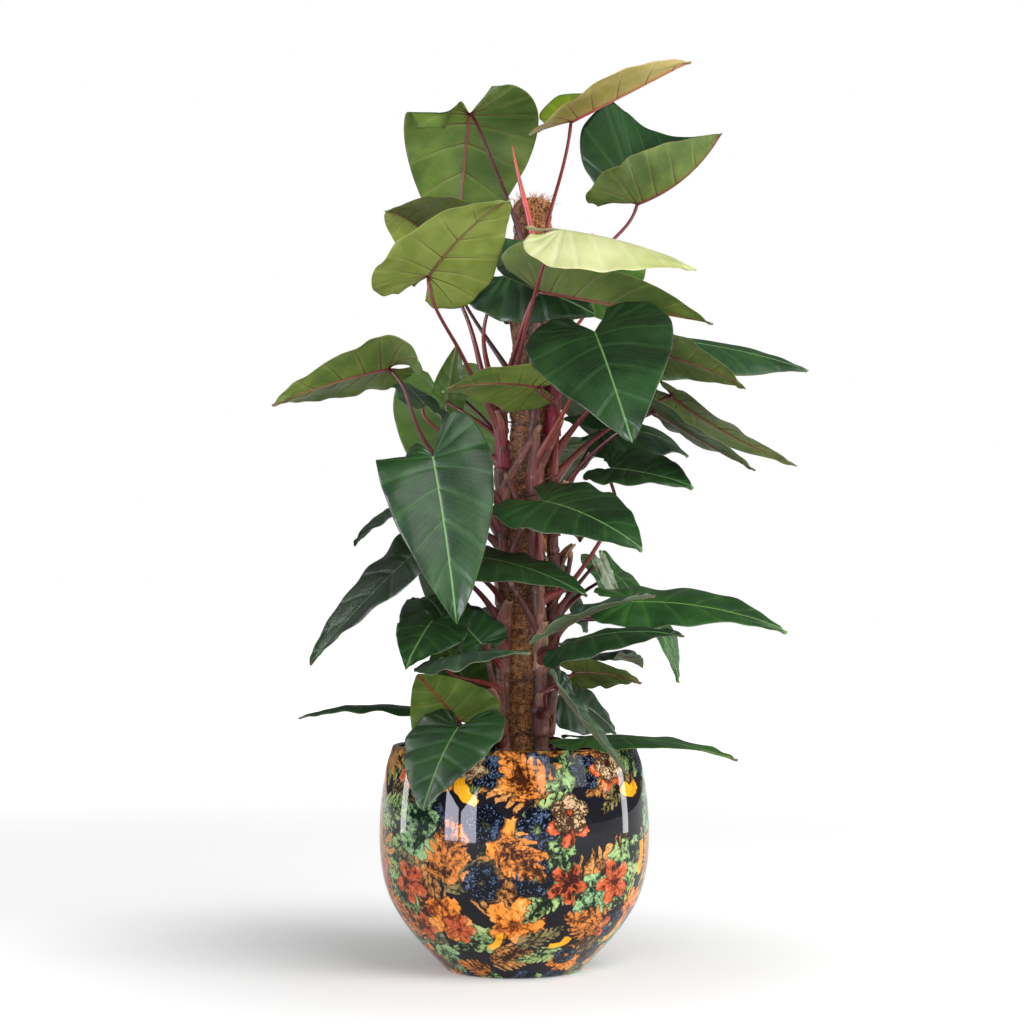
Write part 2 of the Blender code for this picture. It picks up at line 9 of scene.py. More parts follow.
import bmesh
import bpy
import numpy as np
from bpy.props import FloatProperty, FloatVectorProperty, IntProperty, PointerProperty
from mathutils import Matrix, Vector, noise


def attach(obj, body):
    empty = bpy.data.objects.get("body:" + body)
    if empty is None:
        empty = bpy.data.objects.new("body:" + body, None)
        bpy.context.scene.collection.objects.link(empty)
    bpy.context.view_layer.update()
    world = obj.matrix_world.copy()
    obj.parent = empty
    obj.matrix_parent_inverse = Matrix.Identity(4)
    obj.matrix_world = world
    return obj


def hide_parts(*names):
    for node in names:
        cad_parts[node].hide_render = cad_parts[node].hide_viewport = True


bl_info = {
    "name": "Potted Philodendron",
    "version": (1, 0, 0),
    "blender": (4, 5, 0),
    "location": "View3D > Sidebar > Philodendron",
    "description": "A climbing philodendron on a coir pole in a glazed round pot",
    "category": "Add Mesh",
}

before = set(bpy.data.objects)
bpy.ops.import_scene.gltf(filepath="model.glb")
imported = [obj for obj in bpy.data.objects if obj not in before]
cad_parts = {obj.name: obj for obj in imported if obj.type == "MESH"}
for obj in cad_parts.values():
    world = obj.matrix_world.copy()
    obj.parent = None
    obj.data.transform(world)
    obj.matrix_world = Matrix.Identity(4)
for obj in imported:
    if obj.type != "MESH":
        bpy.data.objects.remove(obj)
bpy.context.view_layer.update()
BODY = "root"

MM = 0.001
GAP = 0.0003
UP = Vector((0, 0, 1))
WHITE = (1, 1, 1)

# Pot: a turned, thin-walled shell
POT_HEIGHT = 0.287
POT_RIM_RADIUS = 0.1585
POT_BELLY_RADIUS = 0.175
POT_FOOT_RADIUS = 0.088
POT_WALL = 0.008
POT_FLOOR = 0.012
POT_SIDES = 144
LIP_STEPS = 8
LIP_RISE = 0.0028
FOOT_STEP = 0.0015

# Soil
SOIL_LEVEL = 0.252
SOIL_MOUND = 0.008
SOIL_CLEARANCE = 0.001
SOIL_RINGS = 26

# Coir pole: wrapped fibre round a post, leaning a little to the right
POLE_RADIUS = 0.0235
POLE_FOOT = Vector((0.012, 0.0, SOIL_LEVEL))
POLE_TOP = Vector((0.025, 0.0, 1.004))
POLE_RINGS = 230
WRAP_PITCH = 0.034
FIBRE_RADIUS = 0.0005
FRAYED_STRANDS = 150

# Blades
BLADE_THICKNESS = 0.0010
FINE_RAYS = 64
FINE_SHARES = (0, 0.012, 0.028, 0.06, 0.12, 0.2, 0.29, 0.39, 0.5, 0.61, 0.72, 0.82, 0.9, 0.96, 1.0)
LATERALS = 9
VEIN_RADIUS = 0.00055
RIPPLE = 0.0030
UNEVENNESS = 0.0060

# Petioles: radius where they leave the stem, half way, and under the blade
PETIOLE_RADII = (0.0056, 0.0027, 0.0021)
PETIOLE_CLASP = 0.0024
PETIOLE_RINGS = 30

# Photograph's view: the camera's place and aim, and its half angle in degrees
CAMERA_PLACE = (-0.003, -2.8, 0.445)
CAMERA_AIM = (-0.003, 0.0, 0.592)
CAMERA_HALF_ANGLE = 13.475

# Half of a flat blade's edge, from the inside of the back lobe round to the tip, as
# (half widths out, lengths along from the petiole). Each ray of the blade ends on it.
EDGE = [
    (0.26, -0.22), (0.50, -0.262), (0.76, -0.215), (0.94, -0.09), (1.0, 0.07), (0.94, 0.25),
    (0.78, 0.45), (0.55, 0.65), (0.30, 0.83), (0.10, 0.95), (0.0, 1.0),
]
EDGE_X, EDGE_Y = zip(*EDGE)
# Where those rays start on the midrib, in lengths along
RAY_START = [0, 0, 0, 0, 0.03, 0.12, 0.27, 0.46, 0.67, 0.86, 1.0]


def card(code):
    """The red, green and blue of a hexadecimal colour, 0 to 255."""
    return [int(code[i:i + 2], 16) for i in (0, 2, 4)]


def linear(values):
    """A linear colour from values of 0 to 255."""
    return tuple(((c / 255 + 0.055) / 1.055) ** 2.4 if c > 10 else c / 3294 for c in values)


def paint(code):
    return linear(card(code))


SMOOTH_LOOKS = ("young", "lime", "cream", "bright", "ghost")


class Leaf:
    """One leaf: its stalk, where its blade starts and ends, how it bends and how it looks."""

    def __init__(self, stem, start, base, tip, face, half, fold=(5, 5), curl=(-20, -20), bow=0.05, twist=0,
                 drop=(0, 0), lobe=1.0, via=(), colour="mature", look="dark", painted_half_shade=(1, 1), tint=None):
        self.stem = stem
        self.start = start * MM
        self.base = Vector(base) * MM
        self.tip = Vector(tip) * MM
        self.face = Vector(face)
        self.half = [w * MM for w in half]
        self.fold = [radians(a) for a in fold]
        self.curl = [radians(a) for a in curl]
        self.bow = bow
        self.twist = radians(twist)
        self.drop = [radians(a) for a in drop]
        self.lobe = lobe
        self.via = [Vector(point) * MM for point in via]
        self.colour = colour
        self.look = look
        self.smooth = look in SMOOTH_LOOKS
        # For each half, a factor on its colour: painted shade below 1, painted light above 1.
        self.painted_half_shade = painted_half_shade
        self.tint = tint and paint(tint)


# Leaves in order: stem, height on it in millimetres, base and tip of the blade, the way
# its upper side looks, and the widths of its own right and left half
LEAVES = [
    Leaf("b", 870, (-60, 40, 1130), (-80, 110, 945), (-0.1, 0.95, 0.25), (90, 95), curl=(-30, -10),
         bow=0.04, drop=(75, 15), via=((8, -38, 950), (-25, -10, 1045)), colour="young", look="young",
         painted_half_shade=(1.06, 0.84), tint="501a1c"),
    Leaf("b", 885, (75, 20, 1115), (230, -60, 1175), (-0.4, 0, 0.9), (80, 72), (45, 15), (-20, -25), 0.0,
         twist=35, via=((43, -37, 965),), colour="young", look="tan", tint="782626"),
    Leaf("c", 810, (166, 70, 1014), (279, 40, 1104), (-0.5, 0.2, 0.8), (165, 88), (84, 30), (-12, -15),
         -0.10, twist=28, lobe=1.45, via=((110, 30, 930),), look="olive", tint="70242e"),
    Leaf("a", 690, (-109, -130, 882), (-5, -250, 957), (-0.23, 0.45, 0.86), (80, 82), curl=(-25, -20),
         bow=0.06, via=((-65, -75, 785),), colour="young", look="lime", painted_half_shade=(1.0, 0.86), tint="74302a"),
    Leaf("a", 705, (-120, -6, 965), (-165, -120, 968), (-0.33, 0.1, 0.94), (88, 55), (0, -35), (-15, -60),
         via=((-62, -22, 845),), look="lime", painted_half_shade=(0.6, 1.3), tint="86302a"),
    Leaf("a", 722, (58, -215, 926), (224, -200, 880), (0, -0.4, 0.9), (40, 75), (-15, -15), (-15, -25),
         0.04, via=((5, -85, 780), (20, -130, 840)), colour="pale", look="cream", tint="843230"),
    Leaf("a", 735, (30, -125, 865), (255, -80, 830), (0, 0, 1), (40, 65), (70, 65), (-10, -10), 0.0,
         twist=-25, lobe=0.9, via=((2, -95, 795),), look="olive", tint="803232"),
    Leaf("a", 728, (-12, -70, 893), (105, -85, 840), (0.1, -0.95, 0.3), (60, 62), bow=0.04, lobe=1.3,
         via=((-40, -40, 820),), tint="86302a"),
    Leaf("c", 790, (105, 130, 905), (185, 190, 970), (0.1, -0.6, 0.8), (65, 65), bow=0.1, look="bright",
         tint="ac3c4c"),
    Leaf("b", 650, (100, -150, 810), (140, -270, 660), (-0.18, -0.71, 0.68), (96, 90), (8, 8), (-25, -20),
         0.08, via=((70, -80, 730),), tint="86302a"),
    Leaf("c", 750, (185, 20, 825), (395, 50, 785), (0.15, -0.45, 0.9), (75, 85), (-5, -5), (-30, -30), 0.03,
         look="olive"),
    Leaf("c", 660, (175, -80, 795), (290, -140, 740), (0.15, 0.3, 0.95), (50, 75), (0, 15), bow=0.03,
         look="mature"),
    Leaf("c", 630, (208, 25, 749), (380, 60, 658), (0.45, 0.15, 0.85), (60, 60), (0, 5), bow=-0.04,
         lobe=0.6, look="mature"),
    Leaf("c", 600, (179, -80, 717), (305, -110, 640), (0.45, 0.12, 0.85), (50, 50), (10, 10), bow=-0.02),
    Leaf("c", 570, (118, 110, 710), (245, 180, 680), (0.1, -0.5, 0.8), (70, 70), curl=(-30, -30), bow=0.1),
    Leaf("b", 470, (125, -25, 648), (228, -90, 620), (0.14, -0.45, 0.9), (60, 50), (25, 0), (-30, -20),
         0.03, lobe=0.7, via=((75, -30, 500), (130, -28, 590))),
    Leaf("b", 520, (35, -120, 600), (155, -220, 535), (0.03, -0.5, 0.87), (85, 72), (8, 5), (-25, -25),
         0.06),
    Leaf("a", 470, (-45, -100, 530), (90, -165, 480), (0.24, -0.45, 0.85), (62, 62), curl=(-25, -25)),
    Leaf("a", 560, (-160, -95, 770), (-300, -165, 715), (-0.35, 0.45, 0.8), (72, 68), (8, 20), (-20, -10),
         0.03, drop=(50, 0), via=((-112, -80, 675),), look="olive", painted_half_shade=(1.0, 0.85)),
    Leaf("a", 590, (-100, -190, 650), (-70, -210, 445), (0.2, -0.95, 0.12), (72, 72), (15, 15),
         drop=(0, 60)),
    Leaf("c", 640, (30, -110, 745), (-90, -200, 730), (-0.1, 0.37, 0.9), (58, 60), via=((55, -55, 720),),
         look="olive"),
    Leaf("a", 650, (-118, -25, 732), (-185, 90, 785), (0.1, 0.35, 0.9), (45, 40), (5, 10), lobe=0.8,
         via=((-80, -15, 685),), colour="pale", look="striped"),
    Leaf("d", 640, (-95, 150, 755), (-70, 120, 575), (-0.15, 0.9, 0.3), (75, 75), colour="young",
         look="bright"),
    Leaf("d", 660, (-90, 60, 743), (-77, 70, 823), (0, 0.7, 0.4), (24, 24), (10, 10), colour="pale",
         look="bright"),
    Leaf("a", 540, (-130, -60, 605), (-205, -80, 545), (-0.5, -0.2, 0.8), (60, 60)),
    Leaf("a", 440, (-125, -120, 535), (-255, -140, 395), (-0.62, -0.42, 0.67), (70, 70), (10, 10),
         bow=0.02),
    Leaf("a", 390, (-105, -60, 450), (-135, -150, 390), (0.1, -0.5, 0.8), (50, 42), curl=(-30, -30)),
    Leaf("d", 400, (-90, 40, 445), (-130, 150, 480), (0, -0.4, 0.9), (60, 60), bow=0.1),
    Leaf("a", 385, (-42, -58, 420), (-92, -6, 466), (-0.1, -0.75, 0.55), (28, 40), lobe=0.7),
    Leaf("a", 350, (-84, -112, 404), (20, -190, 410), (0.1, -0.12, 1), (60, 50), (5, -10), (-30, -30), 0.03,
         look="striped"),
    Leaf("a", 300, (-70, -60, 321), (-122, -114, 381), (-0.24, 0.63, 0.74), (60, 60), colour="young",
         look="young"),
    Leaf("d", 310, (-60, 60, 355), (-100, 120, 425), (0, -0.6, 0.6), (60, 60), colour="young",
         look="bright"),
    Leaf("a", 285, (-70, -137, 317), (-110, -205, 220), (-0.4, -0.65, 0.63), (68, 70), (8, 8), bow=0.06),
    Leaf("a", 295, (-117, 5, 335), (-278, -35, 323), (0, 0, 1), (40, 28), (0, 0), (-30, -20), 0.06,
         look="olive"),
    Leaf("b", 430, (148, -110, 473), (342, -125, 436), (0.12, -0.4, 0.9), (72, 55), (8, 0), (-30, -30),
         0.06, look="mature"),
    Leaf("c", 440, (135, 60, 512), (219, 30, 368), (0.7, -0.41, 0.52), (58, 58), bow=0.08, look="mature"),
    Leaf("b", 400, (53, -130, 436), (172, -190, 480), (-0.3, -0.2, 0.95), (24, 26), (25, 25), (10, 10),
         look="striped"),
    Leaf("b", 390, (72, -158, 424), (205, -218, 431), (0.05, -0.3, 0.95), (44, 66), (5, 0), (-30, -25),
         0.06, lobe=0.8, via=((54, -97, 414),)),
    Leaf("b", 350, (76, -52, 384), (160, -106, 371), (0.05, 0.55, 0.82), (36, 48), lobe=0.7, look="mature"),
    Leaf("b", 320, (54, -190, 367), (136, -200, 266), (0.78, -0.2, 0.6), (30, 34), (25, 25), (-10, -10),
         -0.02, lobe=0.7, via=((38, -115, 340),), look="striped"),
    Leaf("c", 285, (100, -60, 300), (280, -110, 275), (0.1, -0.1, 1), (60, 60), curl=(-25, -25),
         look="mature"),
    Leaf("c", 300, (62, 75, 350), (139, 120, 296), (0.25, -0.55, 0.8), (66, 66), bow=0.08, look="striped"),
    Leaf("d", 420, (75, 90, 492), (98, 165, 440), (0.2, -0.7, 0.6), (60, 60), bow=0.08, look="mature"),
    Leaf("c", 450, (112, -12, 529), (150, -10, 449), (-0.3, -0.9, 0.3), (9, 11), bow=0.10, lobe=0.5,
         colour="pale", look="ghost"),
    Leaf("d", 735, (-5, 120, 905), (-10, 235, 875), (0.05, 0.6, 0.8), (62, 62), (10, 10), (-25, -25), 0.08),
    Leaf("d", 620, (50, 170, 690), (25, 285, 600), (-0.1, 0.6, 0.8), (70, 70), (10, 10), (-25, -25), 0.08),
    Leaf("d", 690, (65, 130, 800), (125, 240, 700), (0.3, 0.5, 0.8), (80, 80), (10, 10), (-25, -25), 0.08),
    Leaf("d", 370, (0, 150, 450), (10, 280, 350), (0, 0.6, 0.8), (70, 70), (10, 10), (-25, -25), 0.08),
    Leaf("d", 480, (-60, 140, 540), (-120, 260, 470), (-0.2, 0.5, 0.8), (65, 65), (10, 10), (-25, -25),
         0.08),
    Leaf("d", 530, (70, 140, 600), (95, 250, 565), (0.2, 0.5, 0.8), (55, 55), (10, 10), (-25, -25), 0.08),
    Leaf("d", 740, (-95, 140, 955), (-145, 235, 930), (-0.3, 0.5, 0.8), (60, 60), (10, 10), (-25, -25),
         0.08, look="mature"),
    Leaf("c", 390, (100, 90, 400), (180, 190, 385), (0.2, 0.4, 0.9), (50, 50), (10, 10), (-25, -25), 0.08),
]
for number, each in enumerate(LEAVES, 1):
    each.name = "leaf_%02d" % number

# Stems, in millimetres: middle line from the soil up, radius at the foot and at the top
STEMS = {
    "a": (((-16, -21, 252), (-15, -19, 400), (-15, -15, 560), (-16, -12, 690), (-16, -14, 742)), 10.0, 8.0),
    "b": (((34, -27, 252), (33, -29, 400), (28, -33, 560), (26, -34, 700), (32, -33, 905)), 10.0, 7.5),
    "c": (((41, 19, 252), (47, 12, 400), (51, 1, 560), (50, -15, 700), (58, -12, 835)), 9.5, 7.5),
    "d": (((6, 36, 252), (8, 37, 400), (12, 38, 560), (16, 38, 690), (18, 38, 750)), 9.0, 7.5),
}
INTERNODE = 0.052
STEM_STEP = 0.003
STEM_SWAY = 0.005
ROOT_RADII = (0.0015, 0.0014, 0.0012, 0.001, 0.0008, 0.0004)

# Each look: the upper side's light and deep colour, the underside's light and deep
# colour, the veins above and below, the midrib below, and the margin
LOOKS = {
    "mature": ("346026", "163818", "687c38", "405424", "7aa054", "68362e", "803a36", "968864"),
    "dark": ("284e24", "0d2611", "465e30", "284022", "749c5c", "5c322c", "6c3432", "887c60"),
    "olive": ("2a5026", "0f2a14", "708238", "425a20", "7c9e62", "582226", "7c3234", "a0785c"),
    "tan": ("80961c", "587410", "b4a668", "8c823e", "9ea854", "764234", "ac4246", "b07454"),
    "young": ("3a5c1a", "1c3810", "728a38", "3e5c1c", "7e9242", "541a1e", "84262a", "784e32"),
    "lime": ("80943a", "5a7020", "96a452", "6c7c2e", "a4b06a", "624832", "683a30", "968254"),
    "cream": ("ccce9c", "acb470", "c6ca96", "9aa666", "dadab6", "968e5c", "b08662", "c4a07c"),
    "bright": ("54762c", "32541e", "648636", "426424", "84a054", "64763c", "70763e", "7c8242"),
    "striped": ("3e583c", "1c3826", "70805e", "4a5e42", "96a480", "6e6854", "6e5446", "a09e7c"),
    "ghost": ("92a082", "708262", "96a288", "748468", "b0baa0", "848c74", "8c826a", "aaac94"),
}

BURGUNDY = paint("561a24")
RED = paint("86302a")
STEM_BROWN = paint("623a34")
STEM_TAN = paint("9c6858")
NODE_PALE = paint("a87c66")
ROOT_BROWN = paint("603a26")
PAPER = paint("cea080")

# Pointed sheaths that stand up at the stems' tops: stem, foot height, tip, foot radius,
# and the colours of foot and tip
SHEATHS = [
    ("b", 880, (-3, -34, 1070), 5.5, "b03e38", "ce5446"),
    ("c", 800, (103, -5, 960), 6.5, "a63450", "c4786e"),
]
# Large dry or coloured sheaths: stem, foot height, way it faces in degrees, length, half
# width, how far its top leans out, and its colour
HUSKS = [
    ("c", 690, -80, 0.150, 0.0120, 0.02, "b2284a"),
    ("b", 725, -100, 0.120, 0.0108, 0.02, "c4807a"),
    ("b", 612, -80, 0.085, 0.0115, 0.16, "964c4a"),
    ("a", 648, -115, 0.080, 0.0110, 0.22, "ba3e54"),
    ("a", 560, -70, 0.070, 0.0115, 0.24, "965c4c"),
    ("a", 402, -80, 0.090, 0.0120, 0.60, "96544e"),
    ("b", 500, -95, 0.080, 0.0118, 0.18, "a84e54"),
    ("b", 385, -70, 0.070, 0.0110, 0.30, "cea080"),
    ("c", 398, -40, 0.085, 0.0125, 1.00, "a86e4e"),
    ("a", 300, -130, 0.070, 0.0110, 0.35, "966252"),
    ("c", 300, -60, 0.070, 0.0110, 0.20, "a06c5c"),
    ("c", 560, -50, 0.080, 0.0112, 0.35, "8c5442"),
    ("b", 300, -95, 0.060, 0.0112, 0.16, "844e46"),
    ("d", 420, 80, 0.080, 0.0115, 0.40, "96604e"),
    ("d", 560, 110, 0.080, 0.0115, 0.30, "a05454"),
    ("a", 470, 150, 0.080, 0.0110, 0.35, "cea080"),
    ("c", 480, 30, 0.080, 0.0110, 0.40, "96624a"),
]
HUSK_CUP = 1.5
HUSK_THICKNESS = 0.0007
# The line that runs up between the stems and the pole crosses the x axis here
TRUNK_MIDDLE = 0.012
WIRY_ROOTS = 46
# Roots round the stems and the pole: height, first and last angle in degrees
ROOT_TURNS = [
    (0.606, 165, 330), (0.600, 150, 300), (0.594, 185, 345), (0.589, 160, 320), (0.612, 190, 350),
    (0.486, 170, 300), (0.480, 200, 340), (0.372, 200, 350), (0.705, 180, 310), (0.440, 10, 170),
    (0.610, 10, 175), (0.530, 20, 150),
]
# Old stalks whose blades have dropped: foot, middle and cut end in millimetres, radius
# at the foot, and colour
OLD_STALKS = [
    ((-20, -22, 612), (2, -42, 650), (34, -48, 702), 5.6, "a26459"),
    ((28, -34, 552), (8, -42, 596), (-12, -38, 640), 5.0, "813e3c"),
    ((30, -38, 640), (44, -48, 668), (62, -46, 712), 5.4, "904f47"),
    ((-14, -22, 500), (-2, -40, 540), (12, -44, 572), 4.8, "8a4845"),
    ((32, -34, 430), (16, -44, 462), (-6, -40, 500), 5.0, "773c39"),
    ((-16, -24, 346), (-30, -32, 380), (-34, -34, 420), 4.8, "78453c"),
    ((36, -32, 318), (50, -36, 350), (56, -30, 392), 4.8, "814f43"),
    ((-16, -20, 720), (-4, -36, 752), (10, -38, 790), 4.8, "943941"),
    ((48, 6, 470), (66, 0, 500), (74, -8, 540), 4.6, "78413c"),
    ((10, 42, 480), (26, 52, 516), (36, 54, 556), 4.8, "81473e"),
    ((8, 42, 610), (-8, 50, 646), (-16, 52, 690), 4.8, "8a4c41"),
    ((-20, -10, 560), (-36, 0, 590), (-42, 6, 630), 4.6, "81433c"),
]

# Print on the pot, from the lowest layer up: kind, motifs round the pot, shift of its
# rows, seed, share of places filled, size, dark, light and accent colour, and form
PRINT = [
    ("frond", 9, 0.0, 12, 0.75, 0.46, "101612", "4e5638", "0a0c0a", (0.66, 0.45, 11.0, 0.7)),
    ("frond", 8, 0.5, 29, 0.75, 0.48, "341608", "ba7e42", "1e0e08", (0.95, 0.78, 19.0, 1.4)),
    ("frond", 9, 0.3, 36, 0.80, 0.48, "0c2014", "92b070", "0a1810", (0.74, 0.55, 12.0, 0.9)),
    ("bloom", 11, 0.2, 47, 0.45, 0.46, "78280c", "e48832", "280e08", (5, 0.4, 0.5)),
    ("frond", 11, 0.8, 31, 0.55, 0.46, "1e1a12", "82764e", "100e0a", (0.50, 0.8, 22.0, 1.2)),
    ("bloom", 9, 0.7, 76, 0.34, 0.47, "421e0a", "bc803e", "221008", (17, 0.25, 1.1)),
    ("frond", 10, 0.6, 58, 0.62, 0.47, "0c1e12", "96b070", "0c1810", (0.60, 0.7, 20.0, 1.1)),
    ("berry", 16, 0.1, 61, 0.40, 0.44, "0a0e18", "40506c", "96a4b8", (6, 0.38, 0.0)),
    ("frond", 9, 0.85, 88, 0.50, 0.48, "0a2418", "8aae7c", "0a1a12", (0.78, 0.62, 9.0, 0.8)),
    ("bloom", 15, 0.35, 84, 0.24, 0.44, "3a0e08", "ba542c", "220a06", (5, 0.3, 0.9)),
    ("frond", 11, 0.15, 109, 0.32, 0.46, "3e1c0c", "cc7a36", "220e08", (0.90, 0.7, 15.0, 1.3)),
    ("berry", 17, 0.65, 113, 0.12, 0.42, "463020", "c4a680", "78583c", (5, 0.42, 0.0)),
    ("arc", 10, 0.4, 95, 0.46, 0.42, "cc8210", "eca61c", "f6c046", (0.72, 0.17)),
]

# Soft lights: name, place, height that it aims at, width and height, the setting that
# holds its power, whether matt and glossy surfaces see it, and its tint
LIGHTS = [
    ("key", (1.8, -2.0, 2.1), 0.5, (2.8, 2.8), "key_power", True, True, WHITE),
    ("window_left", (-1.68, -1.31, 0.68), 0.4, (0.46, 1.5), "window_power", False, True, (0.84, 0.82, 1.0)),
    ("window_right", (-1.18, -1.56, 0.68), 0.4, (0.46, 1.5), "window_power", False, True, (0.84, 0.82, 1.0)),
    ("front", (-0.5, -3.0, 1.1), 0.6, (1.4, 1.4), "fill_power", True, False, WHITE),
    ("edge_left", (-1.5, 0.35, 0.8), 0.5, (0.22, 1.5), "edge_power", False, True, WHITE),
    ("edge_right", (1.5, 0.35, 0.8), 0.5, (0.22, 1.5), "edge_power", False, True, WHITE),
]


def catmull(points, t):
    """The value at t, 0 to 1, on a smooth curve through evenly spaced points."""
    last = len(points) - 1
    place = min(max(t, 0.0), 1.0) * last
    i = min(int(place), last - 1)
    u = place - i
    b, c = points[i], points[i + 1]
    a = points[i - 1] if i > 0 else 2 * b - c
    d = points[i + 2] if i + 2 <= last else 2 * c - b
    square, cube = 2 * a - 5 * b + 4 * c - d, 3 * b - a - 3 * c + d
    return 0.5 * (2 * b + (c - a) * u + square * u * u + cube * u ** 3)


def pot_outline(count=14):
    """Radius and height of the pot's outer side, from the foot up to the rim."""
    radii = [POT_FOOT_RADIUS, 0.110, 0.136, 0.157, 0.1695, POT_BELLY_RADIUS, 0.1745, 0.168, POT_RIM_RADIUS]
    heights = [0.0, 0.022, 0.051, 0.083, 0.115, 0.156, 0.206, 0.257, POT_HEIGHT]
    steps = [i / (count - 1) for i in range(count)]
    return [(catmull(radii, t), catmull(heights, t)) for t in steps]


def inner_radius(z):
    """Radius of the pot's inner side at a height."""
    outline = pot_outline(60)
    for (r0, z0), (r1, z1) in zip(outline, outline[1:]):
        if z0 <= z <= z1:
            return r0 + (r1 - r0) * (z - z0) / (z1 - z0) - POT_WALL
    return outline[-1][0] - POT_WALL


def inner_side():
    """Radius and height of the pot's inner side, from the edge of its floor up."""
    side = [(inner_radius(z), z) for _, z in pot_outline() if z > POT_FLOOR + 0.012]
    side[-1] = (POT_RIM_RADIUS - POT_WALL, POT_HEIGHT - 0.001)
    return [(side[0][0] - 0.022, POT_FLOOR), *side]


def stem_point(key, height):
    """The middle of a stem at a height."""
    points = [Vector(p) * MM for p in STEMS[key][0]]
    low, high = 0.0, 1.0
    for _ in range(30):
        middle = (low + high) / 2
        if catmull(points, middle).z < height:
            low = middle
        else:
            high = middle
    return catmull(points, (low + high) / 2)


def stem_radius(key, height):
    points, foot, top = STEMS[key]
    share = (height / MM - points[0][2]) / (points[-1][2] - points[0][2])
    return (foot + (top - foot) * min(max(share, 0), 1)) * MM


def blade_frame(leaf):
    """The blade's direction, upper normal and right side at its base."""
    along = (leaf.tip - leaf.base).normalized()
    normal = (leaf.face - along * leaf.face.dot(along)).normalized()
    return along, normal, normal.cross(along)


class Bend:
    """Bends flat blade points onto the leaf's curved midrib."""

    def __init__(self, leaf):
        self.leaf = leaf
        along, self.normal, _ = blade_frame(leaf)
        chord = leaf.tip - leaf.base
        self.middle = (leaf.base + leaf.tip) / 2 + self.normal * chord.length * 2 * leaf.bow
        self.steps = [self.place(i / 40) for i in range(41)]
        self.reach = [0.0]
        for a, b in zip(self.steps, self.steps[1:]):
            self.reach.append(self.reach[-1] + (b - a).length)
        self.length = self.reach[-1]

    def place(self, t):
        leaf = self.leaf
        return (1 - t) ** 2 * leaf.base + 2 * t * (1 - t) * self.middle + t * t * leaf.tip

    def tangent(self, t):
        leaf = self.leaf
        return ((1 - t) * (self.middle - leaf.base) + t * (leaf.tip - self.middle)).normalized()

    def at_length(self, share):
        goal = share * self.length
        for i, (a, b) in enumerate(zip(self.reach, self.reach[1:])):
            if goal <= b or i == 39:
                return (i + (goal - a) / (b - a)) / 40
        return 1.0

    def point(self, x, y, lift=0.0):
        """x in half widths to the blade's right, y in lengths along it, and how far up."""
        leaf = self.leaf
        t = self.at_length(y) if y > 0 else 0.0
        tangent = self.tangent(t)
        centre = self.place(t) + tangent * min(y, 0) * self.length
        normal = (self.normal - tangent * self.normal.dot(tangent)).normalized()
        side = normal.cross(tangent)
        turn = leaf.twist * min(max(y, -0.3), 1.0)
        normal, side = (
            normal * cos(turn) + side * sin(turn),
            side * cos(turn) - normal * sin(turn))
        half = 0 if x >= 0 else 1
        width = leaf.half[half]
        fold = leaf.fold[half]
        curl = leaf.curl[half] or 0.001
        bend = width / curl
        share = abs(x)
        out = bend * (sin(fold + curl * share) - sin(fold))
        rise = bend * (cos(fold) - cos(fold + curl * share))
        back = max(0.0, 0.10 - y) * self.length
        turn = leaf.drop[half] * min(1.0, back / (0.30 * self.length)) * min(1.0, share * 2.5)
        centre = centre + tangent * back * (1 - cos(turn))
        rise -= back * sin(turn)
        wave = 0.0025 * share * share * sin(19.0 * y + 2.1 * half + 5.0 * leaf.base.x / 0.1)
        return centre + side * out * (1 if x >= 0 else -1) + normal * (rise + wave + lift)


def flat_point(ray, share, lobe):
    """A point of the flat half blade: how far round its edge, and how far out, 0 to 1."""
    edge_x = catmull(EDGE_X, ray)
    edge_y = catmull(EDGE_Y, ray)
    if edge_y < 0:
        edge_y *= lobe
    start = max(0.0, catmull(RAY_START, ray)) if ray > 0.3 else 0.0
    bend_x, bend_y = 0.5 * edge_x, start + 0.40 * (edge_y - start)
    x = 2 * share * (1 - share) * bend_x + share ** 2 * edge_x
    y = (1 - share) ** 2 * start + 2 * share * (1 - share) * bend_y + share ** 2 * edge_y
    return x, y


def smooth_path(points, first, last, count):
    """Points on a smooth curve through points that leaves along first and ends along last."""
    slopes = []
    for i, point in enumerate(points):
        if i == 0:
            slopes.append(first * (points[1] - point).length)
        elif i == len(points) - 1:
            slopes.append(last * (point - points[-2]).length)
        else:
            slopes.append((points[i + 1] - points[i - 1]) / 2)
    path = []
    spans = len(points) - 1
    for k in range(count):
        place = k / (count - 1) * spans
        i = min(int(place), spans - 1)
        u = place - i
        a, b = points[i], points[i + 1]
        path.append(
            a * (2 * u ** 3 - 3 * u * u + 1) + slopes[i] * (u ** 3 - 2 * u * u + u)
            + b * (3 * u * u - 2 * u ** 3) + slopes[i + 1] * (u ** 3 - u * u))
    return path


def petiole_path(leaf, count):
    """From inside the stem to just under the blade's base."""
    bend = Bend(leaf)
    along = bend.tangent(0)
    normal = (bend.normal - along * bend.normal.dot(along)).normalized()
    arrive = (normal * 0.8 + along * 0.45).normalized()
    start = stem_point(leaf.stem, leaf.start)
    aim = leaf.via[0] if leaf.via else leaf.base
    out = Vector((aim.x - start.x, aim.y - start.y, 0)).normalized()
    leave = (out * 0.55 + Vector((0, 0, 0.83))).normalized()
    lift = sin(min(leaf.fold))
    sag = -lift * (0.35 if lift > 0 else 1.0) + 0.3 * sin(max(leaf.drop))
    lean = 0.4
    for _ in range(3):
        depth = BLADE_THICKNESS / 2 + 1.4 * GAP + PETIOLE_RADII[2] * (lean + sag)
        path = smooth_path([start, *leaf.via, leaf.base - normal * depth], leave, arrive, count)
        last = (path[-1] - path[-2]).normalized()
        lean = (last - normal * last.dot(normal)).length
    return path


def bow(start, middle, end, steps):
    """Points of a line that is pulled towards its middle, at shares of its way."""
    return [start.lerp(middle, t).lerp(middle.lerp(end, t), t) for t in steps]


